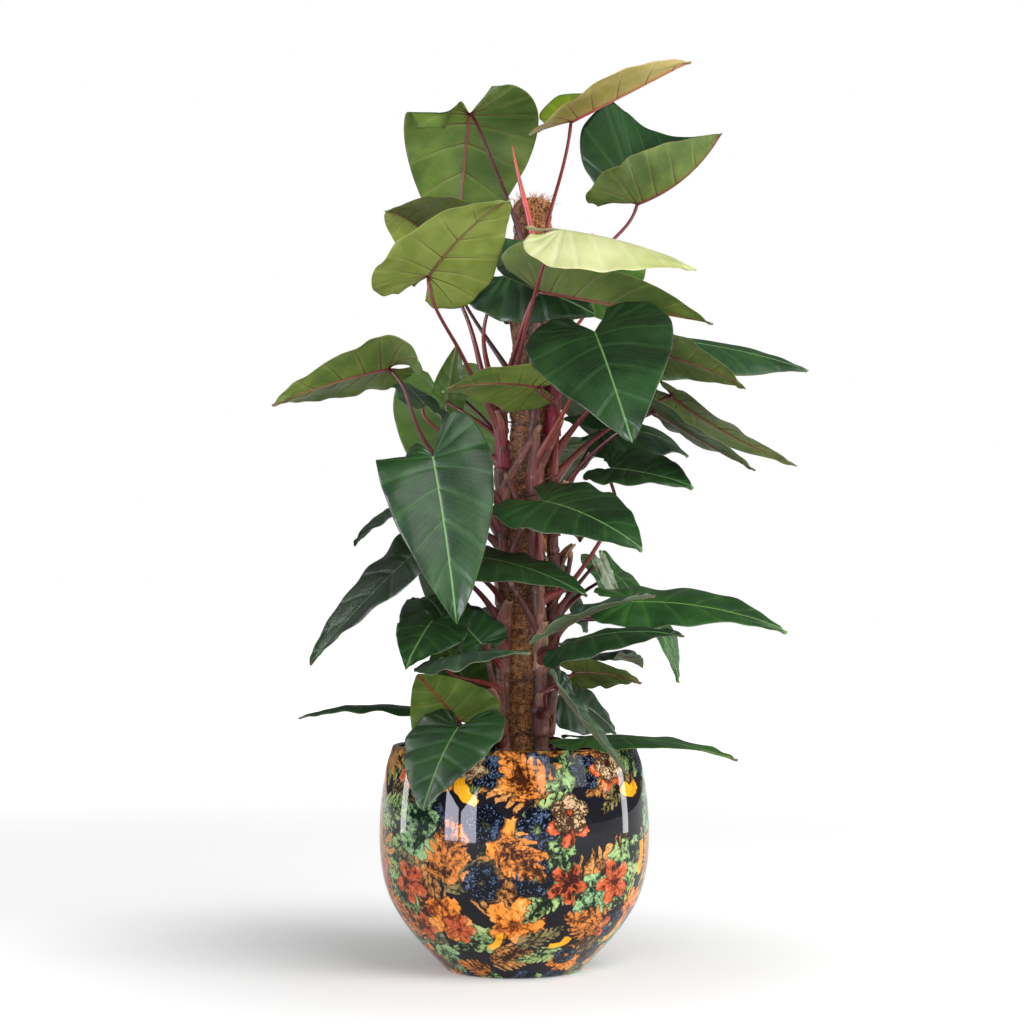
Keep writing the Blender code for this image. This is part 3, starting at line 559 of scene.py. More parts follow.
def pole_axis(z):
    """The middle of the pole at a height."""
    return POLE_FOOT.lerp(POLE_TOP, (z - POLE_FOOT.z) / (POLE_TOP.z - POLE_FOOT.z))


def drift(x, y, z):
    """Smooth noise, about -1 to 1."""
    return noise.noise(Vector((x, y, z)))


def number_setting(label, note, default, **kind):
    return FloatProperty(name=label, description=note, default=default, min=0, **kind)


def length_setting(label, note, default):
    return number_setting(label, note, default, subtype="DISTANCE", unit="LENGTH")


def colour_setting(label, note, default):
    return FloatVectorProperty(name=label, description=note, default=default, subtype="COLOR", min=0, max=1)


class PlantSizes(bpy.types.PropertyGroup):
    """Sizes of the plant's and the pot's fine detail."""

    blade_thickness: length_setting("Blade Thickness", "Thickness of a leaf blade", 0.0008)
    quilting: length_setting("Quilting", "How far a blade swells between its side veins", 0.0006)
    rib_radius: length_setting("Midrib Radius", "Radius of the midrib under a blade, at its base", 0.0017)
    fibre_density: number_setting("Fibre Density", "Loose coir fibres on each square metre", 42000)
    fibre_length: length_setting("Fibre Length", "Length of a loose coir fibre", 0.019)
    crumb_density: number_setting("Crumb Density", "Soil crumbs on each square metre", 17000)
    crumb_size: length_setting("Crumb Size", "Width of a soil crumb", 0.0052)
    seed: IntProperty(name="Seed", description="Seed of the fibres and crumbs", default=7)


class PlantColours(bpy.types.PropertyGroup):
    """Colours of the pot, the soil, the pole and the stems."""

    ground: colour_setting("Pot Ground", "Ground colour under the pot's print", paint("1a191f"))
    soil: colour_setting("Soil", "Colour of the soil", paint("34261c"))
    coir: colour_setting("Coir", "Light colour of the coir", paint("ce8e5a"))
    petiole: colour_setting("Petiole", "Colour of most leaf stalks", BURGUNDY)


class StageSettings(bpy.types.PropertyGroup):
    """The floor, the soft lights and the camera."""

    floor: colour_setting("Floor", "Colour of the floor", (0.82, 0.82, 0.82))
    surround: number_setting("Surround", "Strength of the white surround's light", 0.25)
    key_power: number_setting("Key Light", "Power of the large light on the right", 122.0, unit="POWER")
    window_power: number_setting("Window Light", "Power of each light on the left", 60.0, unit="POWER")
    fill_power: number_setting("Front Light", "Power of the light beside the camera", 20.0, unit="POWER")
    edge_power: number_setting("Edge Light", "Power of each narrow light", 14.0, unit="POWER")


def operation(kind, swapped=False):
    """A method that adds one Math node to its wire's graph."""
    def method(self, *others):
        values = (*others, self) if swapped else (self, *others)
        return self.graph.add("ShaderNodeMath", {"operation": kind}, values)
    return method


class Wire:
    """A shader or geometry value. Arithmetic on it adds Math nodes."""

    __add__ = operation("ADD")
    __radd__ = operation("ADD", True)
    __sub__ = operation("SUBTRACT")
    __rsub__ = operation("SUBTRACT", True)
    __mul__ = operation("MULTIPLY")
    __rmul__ = operation("MULTIPLY", True)
    __truediv__ = operation("DIVIDE")
    __mod__ = operation("FLOORED_MODULO")
    __pow__ = operation("POWER")
    __lt__ = operation("LESS_THAN")
    __abs__ = operation("ABSOLUTE")
    floor = operation("FLOOR")
    sine = operation("SINE")
    cosine = operation("COSINE")
    root = operation("SQRT")
    angle = operation("ARCTAN2")

    def __init__(self, graph, socket):
        self.graph = graph
        self.socket = socket

    def clamped(self):
        return self.graph.add("ShaderNodeMath", {"operation": "ADD", "use_clamp": True}, (self, 0.0))

    def from_whole(self):
        """How far it lies past the nearest whole number."""
        return self - (self + 0.5).floor()


class Graph:
    """A node tree that is written as expressions."""

    def __init__(self, tree):
        self.tree = tree

    def add(self, kind, settings=None, inputs=(), out=0):
        """Adds a node: its settings first, then the values or links of its sockets."""
        node = self.tree.nodes.new(kind)
        for name, value in (settings or {}).items():
            setattr(node, name, value)
        for name, value in inputs.items() if isinstance(inputs, dict) else enumerate(inputs):
            self.put(node.inputs[name], value)
        return Wire(self, node.outputs[out])

    def put(self, socket, value):
        if isinstance(value, Wire):
            self.tree.links.new(value.socket, socket)
        else:
            socket.default_value = (*value, 1) if socket.type == "RGBA" and len(value) == 3 else value

    def mix(self, factor, low, high, kind="MIX"):
        settings = {"data_type": "RGBA", "blend_type": kind, "clamp_factor": True}
        return self.add("ShaderNodeMix", settings, {0: factor, 6: low, 7: high}, 2)

    def times(self, low, high):
        """One colour multiplied by another."""
        return self.mix(1.0, low, high, "MULTIPLY")

    def rise(self, value, low, high):
        """0 below low, 1 above high, and smooth between them."""
        return self.add("ShaderNodeMapRange", {"interpolation_type": "SMOOTHSTEP"}, (value, low, high))

    def fall(self, value, low, high):
        """1 below low, 0 above high, and smooth between them."""
        return 1 - self.rise(value, low, high)

    def place(self):
        return self.add("ShaderNodeTexCoord", out="Object")

    def uv(self):
        return self.split(self.add("ShaderNodeUVMap", {"uv_map": "UVMap"}))[:2]

    def noise(self, vector, scale, detail=2.0, roughness=0.5, out="Fac"):
        return self.add("ShaderNodeTexNoise", None, {
            "Vector": vector, "Scale": scale, "Detail": detail, "Roughness": roughness}, out)

    def cells(self, x, y, settings=None):
        """Distances in a pattern of cells."""
        inputs = {"Vector": self.join(x, y), "Scale": 1.0}
        return self.add("ShaderNodeTexVoronoi", settings, inputs, "Distance")

    def streaks(self, wide, far, detail, roughness):
        """Noise that is drawn out along a tube."""
        around, length = self.uv()
        turn = around * 2 * pi
        spot = self.join(turn.cosine() * wide, turn.sine() * wide, length * far)
        return self.noise(spot, 1.0, detail, roughness)

    def split(self, vector):
        node = self.tree.nodes.new("ShaderNodeSeparateXYZ")
        self.put(node.inputs[0], vector)
        return [Wire(self, socket) for socket in node.outputs]

    def join(self, x, y, z=0.0):
        return self.add("ShaderNodeCombineXYZ", None, (x, y, z))

    def stretch(self, vector, scale):
        return self.add("ShaderNodeVectorMath", {"operation": "MULTIPLY"}, (vector, scale))

    def attribute(self, name, out):
        return self.add("ShaderNodeAttribute", {"attribute_name": name}, out=out)


class Finish(Graph):
    """A material's node tree with its one shader."""

    def __init__(self, name, roughness, coat=0.0, coat_roughness=0.1, specular=0.5, ior=1.45):
        self.material = bpy.data.materials.new(name)
        self.material.use_nodes = True
        super().__init__(self.material.node_tree)
        self.shader = self.tree.nodes["Principled BSDF"]
        self.set("Roughness", roughness)
        self.set("Coat Weight", coat)
        self.set("Coat Roughness", coat_roughness)
        self.set("Specular IOR Level", specular)
        self.set("IOR", ior)

    def set(self, name, value):
        self.put(self.shader.inputs[name], value)

    def paint(self, colour, roughness=None):
        self.set("Base Color", colour)
        if roughness is not None:
            self.set("Roughness", roughness)
        return self.material

    def bump(self, height, distance, strength=1.0):
        self.set("Normal", self.add("ShaderNodeBump", None, {
            "Height": height, "Distance": distance, "Strength": strength}, "Normal"))


def blade_finish(look, upper):
    """A blade's skin: veins in ray order, mottling, a thin margin and a waxy gloss."""
    over, over_deep, under, under_deep, vein_over, vein_under, rib, margin = [paint(c) for c in LOOKS[look]]
    light, deep, vein = (over, over_deep, vein_over) if upper else (under, under_deep, vein_under)
    g = Finish("%s_%s" % (look, "upper" if upper else "under"), 0.34, 0.1 if upper else 0.05, 0.25, 0.28)
    across, ray = g.uv()
    share = abs(across * 2 - 1)
    rib_mm, margin_mm, ray_mm = g.split(g.attribute("rule", "Vector"))
    tone = g.attribute("tint", "Fac")
    spot = g.place()
    patch = g.noise(spot, 13, 4, 0.6)
    grain = g.noise(spot, 260, 2)
    turn = (ray + (g.noise(spot, 70) - 0.5) * 0.006) * LATERALS
    side = abs(turn.from_whole()) / LATERALS * ray_mm
    wide = g.rise(ray_mm, 40, 130)
    lateral = g.fall(side, 0.1, 0.9 if upper else 1.5) * (1 - share * 0.75)
    lateral = lateral * g.rise(share, 0.0, 0.04) * g.fall(ray, 0.92, 0.96)
    fine = abs((turn * 6 + g.noise(spot, 120) * 0.8).from_whole()) * 2
    cells = g.cells(across * 42, ray * 210, {"feature": "DISTANCE_TO_EDGE"})
    net = (g.fall(fine, 0.0, 0.35) * 0.5 + g.fall(cells, 0.0, 0.16) * 0.5) * wide
    middle = g.fall(rib_mm, 0.35, 1.7 if upper else 3.6)
    # Random mottling, and a little lighter near each side vein and darker between them: painted shade of the
    # quilting.
    body = g.mix(g.rise(patch, 0.32, 0.68) * 0.75 + g.fall(side, 0.5, 7.0) * 0.2, deep, light)
    body = g.mix(net * (0.07 if upper else 0.16), body, vein)
    body = g.mix(lateral * wide * (0.2 if upper else 0.7), body, vein)
    body = g.mix(middle * 0.8, body, vein if upper else rib)
    body = g.mix(g.fall(margin_mm, 0.1, 0.7) * g.rise(rib_mm, 2, 9) * 0.35, body, margin)
    # Multiplied by the tint: the leaf's random tone and its halves' painted shade or painted light.
    body = g.times(body, g.join(tone, tone, tone))
    rough = 0.31 + patch * 0.14 + grain * 0.06 if upper else 0.5 + grain * 0.12
    g.bump(g.rise(side, 0.0, 6.0) * 1.2 - net * 0.1 + patch * 3.0 + grain * 0.12, 0.0007, 0.8)
    return g.paint(body, rough)


def skin_finish():
    """The stalks' skin: each tube's own tint with fine lengthwise streaks and scars."""
    g = Finish("stalk_skin", 0.4, 0.15, 0.2, 0.3)
    tint = g.attribute("tint", "Color")
    streak = g.streaks(4, 22, 4, 0.65)
    speck = g.noise(g.place(), 380, 2)
    blotch = g.noise(g.place(), 60, 3)
    colour = g.mix(g.rise(streak, 0.4, 0.65) * 0.75, tint, g.times(tint, (0.36, 0.28, 0.28)))
    colour = g.mix(g.rise(blotch, 0.52, 0.72) * 0.35, colour, g.times(tint, (1.5, 1.4, 1.35)))
    colour = g.mix(g.rise(speck, 0.66, 0.72) * 0.2, colour, paint("c48c74"))
    g.bump(streak + speck * 0.4, 0.0006, 0.7)
    return g.paint(colour, 0.3 + streak * 0.25)


def bark_finish():
    """Old stem skin and dry sheaths: papery, streaked along and cracked."""
    g = Finish("stem_bark", 0.6, 0.05, 0.3, 0.3)
    tint = g.attribute("tint", "Color")
    streak = g.streaks(5, 30, 4, 0.7)
    flake = g.noise(g.place(), 95, 4, 0.65)
    crack = g.streaks(9, 14, 3, 0.6)
    colour = g.mix(g.rise(streak, 0.38, 0.62) * 0.85, tint, g.times(tint, (0.3, 0.24, 0.23)))
    colour = g.mix(g.rise(flake, 0.54, 0.66) * 0.5, colour, g.mix(0.45, tint, paint("d6b096")))
    colour = g.mix(g.fall(crack, 0.32, 0.4), colour, paint("2c1a16"))
    g.bump(streak * 0.8 + flake + g.rise(crack, 0.32, 0.42), 0.0012, 0.9)
    # Large soft patches darkened towards near-black: painted shade that deepens the trunk.
    colour = g.mix(g.rise(g.noise(g.place(), 28, 2), 0.4, 0.7) * 0.5, colour, paint("3e2220"))
    return g.paint(colour, 0.48 + flake * 0.3)


def root_finish():
    g = Finish("dry_root", 0.85)
    speck = g.noise(g.place(), 320, 3)
    g.bump(speck, 0.0006, 0.8)
    return g.paint(g.mix(speck, paint("3a2418"), paint("80583a")), 0.8)


def coir_finish(light):
    """Matted coir: crossed fibres with painted shade in the dark gaps between them."""
    g = Finish("coir", 0.95)
    spot = g.place()
    swirl = g.stretch(g.noise(spot, 45.0, 1.0, out="Color"), (0.016, 0.016, 0.016))
    moved = g.add("ShaderNodeVectorMath", {"operation": "ADD"}, (spot, swirl))
    lie = g.noise(g.stretch(moved, (520, 520, 110)), 1.0, 3, 0.6)
    cross = g.noise(g.stretch(moved, (150, 150, 560)), 1.0, 3, 0.6)
    patch = g.noise(spot, 34, 3)
    fibre = g.rise(lie, 0.42, 0.6) * 0.55 + g.rise(cross, 0.44, 0.6) * 0.55
    # Where no fibre lies the colour is near-black: painted shade in the gaps of the mat.
    colour = g.mix(fibre, paint("22120b"), light)
    colour = g.mix(g.rise(patch, 0.45, 0.75) * 0.35, colour, paint("60341c"))
    g.bump(lie + cross * 0.8, 0.0022, 1.0)
    return g.paint(colour, 0.9)


def fibre_finish(light):
    g = Finish("coir_fibre", 0.7)
    shade = g.noise(g.place(), 130, 2)
    return g.paint(g.mix(g.rise(shade, 0.35, 0.62), paint("60341c"), light), 0.75)


def soil_finish(colour):
    g = Finish("soil_crumb", 0.95)
    spot = g.place()
    clod = g.noise(spot, 150, 3, 0.6)
    speck = g.noise(spot, 700, 2)
    body = g.mix(g.rise(clod, 0.3, 0.7), paint("16100c"), colour)
    body = g.mix(g.rise(speck, 0.68, 0.74) * 0.7, body, paint("7c6042"))
    g.bump(clod + speck * 0.3, 0.0015, 1.0)
    return g.paint(body, 0.92)


def motif_place(g, around, up, warp, turns, shift, seed, size):
    """Where a point lies in its motif's own turned frame, and the motif's random numbers."""
    x, y = around * turns + shift, up * turns + 2.7 * shift
    column, row = x.floor(), y.floor()
    node = g.add("ShaderNodeTexWhiteNoise", {"noise_dimensions": "3D"}, {
        "Vector": g.join(column % turns, row, float(seed))}, "Color")
    first, second, third = g.split(node)
    size = size * (0.82 + third * 0.18)
    x = (x - column - 0.5 + (first - 0.5) * 0.14) / size + warp[0]
    y = (y - row - 0.5 + (second - 0.5) * 0.14) / size + warp[1]
    angle = third * 2 * pi
    ahead, aside = angle.cosine(), angle.sine()
    return x * ahead + y * aside, y * ahead - x * aside, (first * 7.31 + second * 3.7) % 1.0


def bloom(g, x, y, form):
    """A flower with two rings of ragged petals: its edge, its shading and its dark seams."""
    petals, heart, point = form
    reach = (x * x + y * y).root()
    half_turn = y.angle(x) * (petals / 2)
    wave, inner = abs(half_turn.cosine()), abs(half_turn.sine())
    ragged = g.noise(g.join(x * 7, y * 7, 3.0), 1.0, 4, 0.7) * 0.5 - 0.25
    outer = 0.44 + 0.56 * wave ** point + ragged
    second = (0.42 + 0.58 * inner ** point) * 0.6 + ragged * 0.7
    ray_x, ray_y = [w / (reach + 0.1) * petals * 0.9 for w in (x, y)]
    streak = g.noise(g.join(ray_x, ray_y, reach * 2.2), 1.0, 3, 0.7)
    top = g.rise(second - reach, 0.0, 0.03)
    shade = 0.2 + (reach * 0.7) * (1 - top) + (reach * 0.9) * top + (streak - 0.5) * 2.6
    seam = g.fall(wave, 0.0, 0.3) * (1 - top) + g.fall(inner, 0.0, 0.3) * top
    line = g.fall(abs(second - reach), 0.0, 0.06) * 0.8
    core = g.fall(reach + ragged, heart * 0.3, heart * 0.6)
    return outer - reach, shade, (seam * 0.75 + line + core).clamped()


def frond(g, x, y, form):
    """A leaf with lobes or leaflets along a midvein."""
    width, teeth, cuts, slant = form
    side = abs(y)
    comb = abs(((x - side * slant) * (cuts / 2)).sine())
    ragged = g.noise(g.join(x * 9, y * 9, 5.0), 1.0, 4, 0.7) * 0.34 - 0.17
    body = (1 - x * x).clamped() ** 0.7 * (0.62 - 0.38 * x) * width * 1.25
    edge = body * (1 - teeth + teeth * comb ** 0.6) + ragged * 0.8
    blotch = g.noise(g.join(x * 8, y * 8), 1.0, 4, 0.75)
    shade = (side / (body + 0.05)) * 0.5 + comb * 0.25 + (blotch - 0.5) * 3.0
    vein = g.fall(side, 0.012, 0.045) + g.fall(comb, 0.0, 0.35) * 0.7
    return edge - side - g.rise(abs(x), 0.94, 0.97), shade, vein.clamped()


def berry(g, x, y, form):
    """A ring of seeded berries with small light spots."""
    count, radius, _ = form
    reach = (x * x + y * y).root()
    local = (y.angle(x) * (count / 2 / pi)).from_whole() * (2 * pi / count)
    a, b = reach * local.cosine() - 0.56, reach * local.sine()
    off = (a * a + b * b).root()
    seeds = g.cells(x * 9, y * 9)
    shade = (1 - off / radius) * 0.5 + 0.6 - seeds * 1.3
    return radius - off, shade, g.fall(seeds, 0.1, 0.25)


def arc(g, x, y, form):
    """A short brushed stroke, bent round."""
    radius, width = form
    reach = (x * x + y * y).root()
    angle = y.angle(x)
    rough = g.noise(g.join(angle * 2.5, reach * 16), 1.0, 3)
    end = g.rise(abs(angle) + rough * 0.3, 0.85, 0.95)
    return width - abs(reach - radius) - end + rough * 0.06, rough * 1.2, g.rise(rough, 0.55, 0.7) * 0.5


MOTIFS = {"bloom": bloom, "frond": frond, "berry": berry, "arc": arc}


def print_finish(ground):
    """The pot's all-over print of plain garden flowers and leaves under a clear glaze."""
    g = Finish("printed_glaze", 0.4, 1.0, 0.025, 0.0)
    g.set("Coat IOR", 1.28)
    around, up = g.uv()
    spot = g.place()
    detail = g.noise(spot, 120, 5, 0.7)
    broad = g.noise(spot, 34, 2)
    bend = g.split(g.noise(spot, 52.0, 2.0, out="Color"))
    warp = [(bend[0] - 0.5) * 0.34, (bend[1] - 0.5) * 0.34]
    colour = g.mix(g.rise(detail, 0.5, 0.75) * 0.4, ground, paint("2e3236"))
    for kind, turns, shift, seed, share, size, dark, light, accent, form in PRINT:
        x, y, chance = motif_place(g, around, up, warp, turns, shift, seed, size)
        edge, shade, mark = MOTIFS[kind](g, x, y, form)
        filled = chance < share
        lit = shade + (detail - 0.5) * 2.4 + (broad - 0.5) * 2.2
        pale = [0.45 * c + 0.55 * k for c, k in zip(card(light), card("faecbe"))]
        tone = g.mix(g.rise(lit, 0.0, 0.75), paint(dark), [1.25 * c for c in paint(light)])
        tone = g.mix(g.rise(lit, 0.8, 1.4) * 0.8, tone, linear(pale))
        tone = g.mix(mark * 0.6, tone, paint(accent))
        colour = g.mix(g.rise(edge, -0.12, 0.0) * 0.8 * filled, colour, ground)
        colour = g.mix(g.rise(edge, 0.0, 0.03) * filled, colour, tone)
    g.bump(g.noise(spot, 16, 2), 0.0012, 0.25)
    return g.paint(colour)


def glaze_finish(ground):
    g = Finish("inner_glaze", 0.3, 0.6, 0.08, ior=1.5)
    return g.paint(g.mix(g.noise(g.place(), 30, 3), ground, paint("343032")))


def floor_finish(colour):
    """A pale floor that glows as painted light: faintly near the pot, and brighter to white well behind it,
    so no horizon shows.
    """
    g = Finish("floor", 0.9, specular=0.2)
    spot = g.place()
    far = g.add("ShaderNodeVectorMath", {"operation": "LENGTH"}, (spot,), "Value")
    # Painted light: the floor's own glow, weak near the pot and strong far away.
    bright = g.rise(far, 0.15, 0.9) * 0.5 + g.rise(far, 1.5, 4.5) * 0.5
    g.set("Emission Color", g.mix(bright, (0.19, 0.19, 0.19), (0.95, 0.95, 0.95)))
    g.set("Emission Strength", 1.0)
    return g.paint(g.mix(g.noise(spot, 3, 2), colour, tuple(c * 0.985 for c in colour)))


def travel(path):
    """Each point of a path, the way ahead there, and the length up to it."""
    reach = 0.0
    for i, place in enumerate(path):
        before, after = path[max(i - 1, 0)], path[min(i + 1, len(path) - 1)]
        reach += (place - before).length
        yield place, (after - before).normalized(), reach


def face_outwards(shape):
    """Turns the faces of each closed part so that its volume comes out positive."""
    bmesh.ops.recalc_face_normals(shape, faces=shape.faces)
    left = set(shape.faces)
    while left:
        front, part, volume = [left.pop()], [], 0.0
        while front:
            face = front.pop()
            part.append(face)
            volume += face.calc_center_median().dot(face.normal) * face.calc_area()
            near = {other for edge in face.edges for other in edge.link_faces} & left
            left -= near
            front.extend(near)
        if volume < 0:
            bmesh.ops.reverse_faces(shape, faces=part)


class Skin:
    """Points, faces, UVs, tints and rules gathered for one mesh."""

    def __init__(self):
        self.points, self.tints, self.rules = [], [], []
        self.faces, self.corners, self.slots = [], [], []

    def point(self, place, tint, rule=(9.0, 9.0, 9.0)):
        self.points.append(place)
        self.tints.append(tint)
        self.rules.append(rule)
        return len(self.points) - 1

    def face(self, corners, slot):
        """A face; a corner is a point's number with its UV."""
        indices, uvs = zip(*corners)
        self.faces.append(indices)
        self.corners.extend(uvs)
        self.slots.append(slot)

    def bands(self, rows, slot):
        """Faces between rows of corners; slot is one for all, or one for each band."""
        slots = slot if isinstance(slot, list) else [slot] * len(rows)
        for one, two, band_slot in zip(rows, rows[1:], slots):
            for corners in zip(one, one[1:], two[1:], two):
                self.face(corners, band_slot)

    def tube(self, path, radii, sides, tints, slot=0):
        """A closed round tube."""
        if not isinstance(tints, list):
            tints = [tints] * len(path)
        rows, side = [], None
        for i, (place, ahead, reach) in enumerate(travel(path)):
            side = ahead.orthogonal() if side is None else side
            side = (side - ahead * side.dot(ahead)).normalized()
            up = ahead.cross(side)
            ring = []
            for k in range(sides):
                a = 2 * pi * k / sides
                out = side * cos(a) + up * sin(a)
                ring.append(self.point(place + out * radii[i], tints[i]))
            rows.append([(ring[k % sides], (k / sides, reach)) for k in range(sides + 1)])
        self.bands(rows, slot)
        first, last = self.point(path[0], tints[0]), self.point(path[-1], tints[-1])
        for (a, _), (b, _), (c, _), (d, _) in zip(rows[0], rows[0][1:], rows[-1], rows[-1][1:]):
            self.face(zip((first, b, a), ((0, 0), (0.1, 0), (0, 0.001))), slot)
            self.face(zip((last, c, d), ((0, reach), (0.1, reach), (0, reach))), slot)

    def trough(self, path, widths, out, tints, slot):
        """A thin curved strip, hollow towards the side that out points away from."""
        rows = []
        for i, (place, ahead, reach) in enumerate(travel(path)):
            side = ahead.cross(out).normalized()
            up = side.cross(ahead)
            pair = []
            for face in (0.5, -0.5):
                line = []
                for k in range(7):
                    a = (k / 6 - 0.5) * 2 * HUSK_CUP
                    rise = (cos(a) - 1) * widths[i] + face * HUSK_THICKNESS
                    spot = place + side * sin(a) * widths[i] + up * rise
                    line.append((self.point(spot, tints[i]), (k / 6, reach)))
                pair.append(line)
            rows.append(pair)
        for (over, under), (next_over, next_under) in zip(rows, rows[1:]):
            self.bands([over, next_over], slot)
            self.bands([under, next_under], slot)
            for k in (0, 6):
                self.bands([[over[k], under[k]], [next_over[k], next_under[k]]], slot)
        self.bands(rows[0], slot)
        self.bands(rows[-1], slot)

    def turned(self, profile, steps, slot, rows=None, shape=None):
        """A turned body; rows are its V values, and shape moves each point."""
        rings = []
        for i, (r, z) in enumerate(profile):
            ring = []
            for k in range(steps + 1):
                a = 2 * pi * (k % steps) / steps
                place = Vector((r * cos(a), r * sin(a), z))
                place = shape(place) if shape else place
                ring.append((self.point(place, WHITE), (k / steps, rows[i] if rows else z)))
            rings.append(ring)
        self.bands(rings, slot)

    def build(self, name, materials):
        mesh = bpy.data.meshes.new(name)
        mesh.from_pydata(self.points, [], self.faces)
        mesh.uv_layers.new(name="UVMap").data.foreach_set("uv", np.array(self.corners, np.float32).ravel())
        tints = np.ones((len(self.points), 4), np.float32)
        tints[:, :3] = self.tints
        mesh.attributes.new("tint", "FLOAT_COLOR", "POINT").data.foreach_set("color", tints.ravel())
        rules = np.array(self.rules, np.float32)
        mesh.attributes.new("rule", "FLOAT_VECTOR", "POINT").data.foreach_set("vector", rules.ravel())
        for material in materials:
            mesh.materials.append(material)
        mesh.polygons.foreach_set("material_index", self.slots)
        mesh.polygons.foreach_set("use_smooth", [True] * len(self.faces))
        shape = bmesh.new()
        shape.from_mesh(mesh)
        bmesh.ops.remove_doubles(shape, verts=shape.verts, dist=0.000002)
        bmesh.ops.dissolve_degenerate(shape, edges=shape.edges, dist=0.0000005)
        face_outwards(shape)
        shape.to_mesh(mesh)
        shape.free()
        return place_object(name, mesh)


def place_object(name, data):
    """A new object at the origin, in the scene."""
    item = bpy.data.objects.new(name, data)
    bpy.context.scene.collection.objects.link(item)
    return item


def settle(item, slot, *nodes):
    """Makes a finished piece ride on the part, and stand for the nodes it replaces."""
    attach(item, BODY)
    if nodes:
        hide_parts(*nodes)


def blade_relief(leaf, ray, share, rib_mm, quilting):
    """How far a point of the blade stands up: quilting, groove, ripples and unevenness."""
    swell = abs(sin(pi * LATERALS * ray)) ** 0.6 - 0.5
    rim = min(1.0, share * 6) * min(1.0, (1 - share) * 5)
    depth = quilting * (0.45 if leaf.smooth else 1.0) * min(1.0, 7 * (1 - ray)) * min(1.0, 12 * ray)
    shift = 11 * leaf.base.x + 7 * leaf.base.z
    groove = 0.0006 * exp(-(rib_mm / 1.8) ** 2)
    ripple = RIPPLE * share ** 3 * drift(15 * ray, 3.3 * share, shift)
    return swell * rim * depth - groove + ripple + UNEVENNESS * drift(3.7 * ray, 2.2 * share, shift) * share


def fine_blade(skin, leaf, bend, sizes, tone):
    """Both faces of a blade, and its closed margin."""
    length = bend.length * 1000
    for half, sign in ((0, 1), (1, -1)):
        width = leaf.half[half] * 1000
        # The tint is the leaf's random tone times this half's painted shade or painted light.
        tint = (tone * leaf.painted_half_shade[half],) * 3
        rays = [i / FINE_RAYS for i in range(FINE_RAYS + 1)]
        flat = [[flat_point(ray, share, leaf.lobe) for share in FINE_SHARES] for ray in rays]
        over, under = [], []
        for i, (ray, row) in enumerate(zip(rays, flat)):
            low, high = max(i - 1, 0), min(i + 1, FINE_RAYS)
            edge = hypot((row[-1][0] - row[0][0]) * width, (row[-1][1] - row[0][1]) * length)
            lines = ([], [])
            for share, (x, y), (x0, y0), (x1, y1) in zip(FINE_SHARES, row, flat[low], flat[high]):
                rib_mm = abs(x) * width if y > 0 else hypot(x * width, y * length)
                spread = hypot((x1 - x0) * width, (y1 - y0) * length) / ((high - low) / FINE_RAYS)
                rim_mm = min((1 - share) * edge, ray * spread)
                lift = blade_relief(leaf, ray, share, rib_mm, sizes.quilting)
                thick = sizes.blade_thickness / 2 * min(1.0, 0.35 + rim_mm / 2.5)
                for line, way in zip(lines, (1, -1)):
                    place = bend.point(sign * x if x else sign * 1e-9, y, lift + way * thick)
                    index = skin.point(place, tint, (rib_mm, rim_mm, spread))
                    line.append((index, (0.5 + sign * 0.5 * share, ray)))
            over.append(lines[0])
            under.append(lines[1])
        skin.bands(over, 0)
        skin.bands(under, 1)
        skin.bands([[row[-1] for row in over], [row[-1] for row in under]], 1)
        skin.bands([over[0], under[0]], 1)


def blade_ribs(skin, leaf, bend, sizes):
    """The midrib and the side veins that stand out under a blade."""
    rib, vein, body = [paint(LOOKS[leaf.look][k]) for k in (6, 5, 2)]
    size = min(1.0, bend.length / 0.19)
    steps = [i / 26 for i in range(27)]
    radii = [sizes.rib_radius * size * (1 - 0.86 * t) for t in steps]
    path = [bend.point(1e-6, 0.004 + 0.95 * t, -0.0004 - radius) for t, radius in zip(steps, radii)]
    skin.tube(path, radii, 6, [blend_tints(rib, body, t ** 1.3) for t in steps], 2)
    steps = [i / 9 for i in range(10)]
    tints = [blend_tints(vein, body, t ** 1.6) for t in steps]
    for half, sign in ((0, 1), (1, -1)):
        for k in range(1, LATERALS):
            ray = k / LATERALS
            path = []
            for t in steps:
                share = 0.01 + 0.84 * t
                x, y = flat_point(ray, share, leaf.lobe)
                far = hypot(x * leaf.half[half], min(y, 0.0) * bend.length) * 1000
                lift = blade_relief(leaf, ray, share, far, sizes.quilting)
                path.append(bend.point(sign * x, y, lift - 0.0005))
            strong = 1.3 if k <= 3 else 1.0 - 0.06 * k
            radii = [VEIN_RADIUS * strong * size * (1 - 0.75 * t) + 0.0001 for t in steps]
            skin.tube(path, radii, 4, tints, 2)


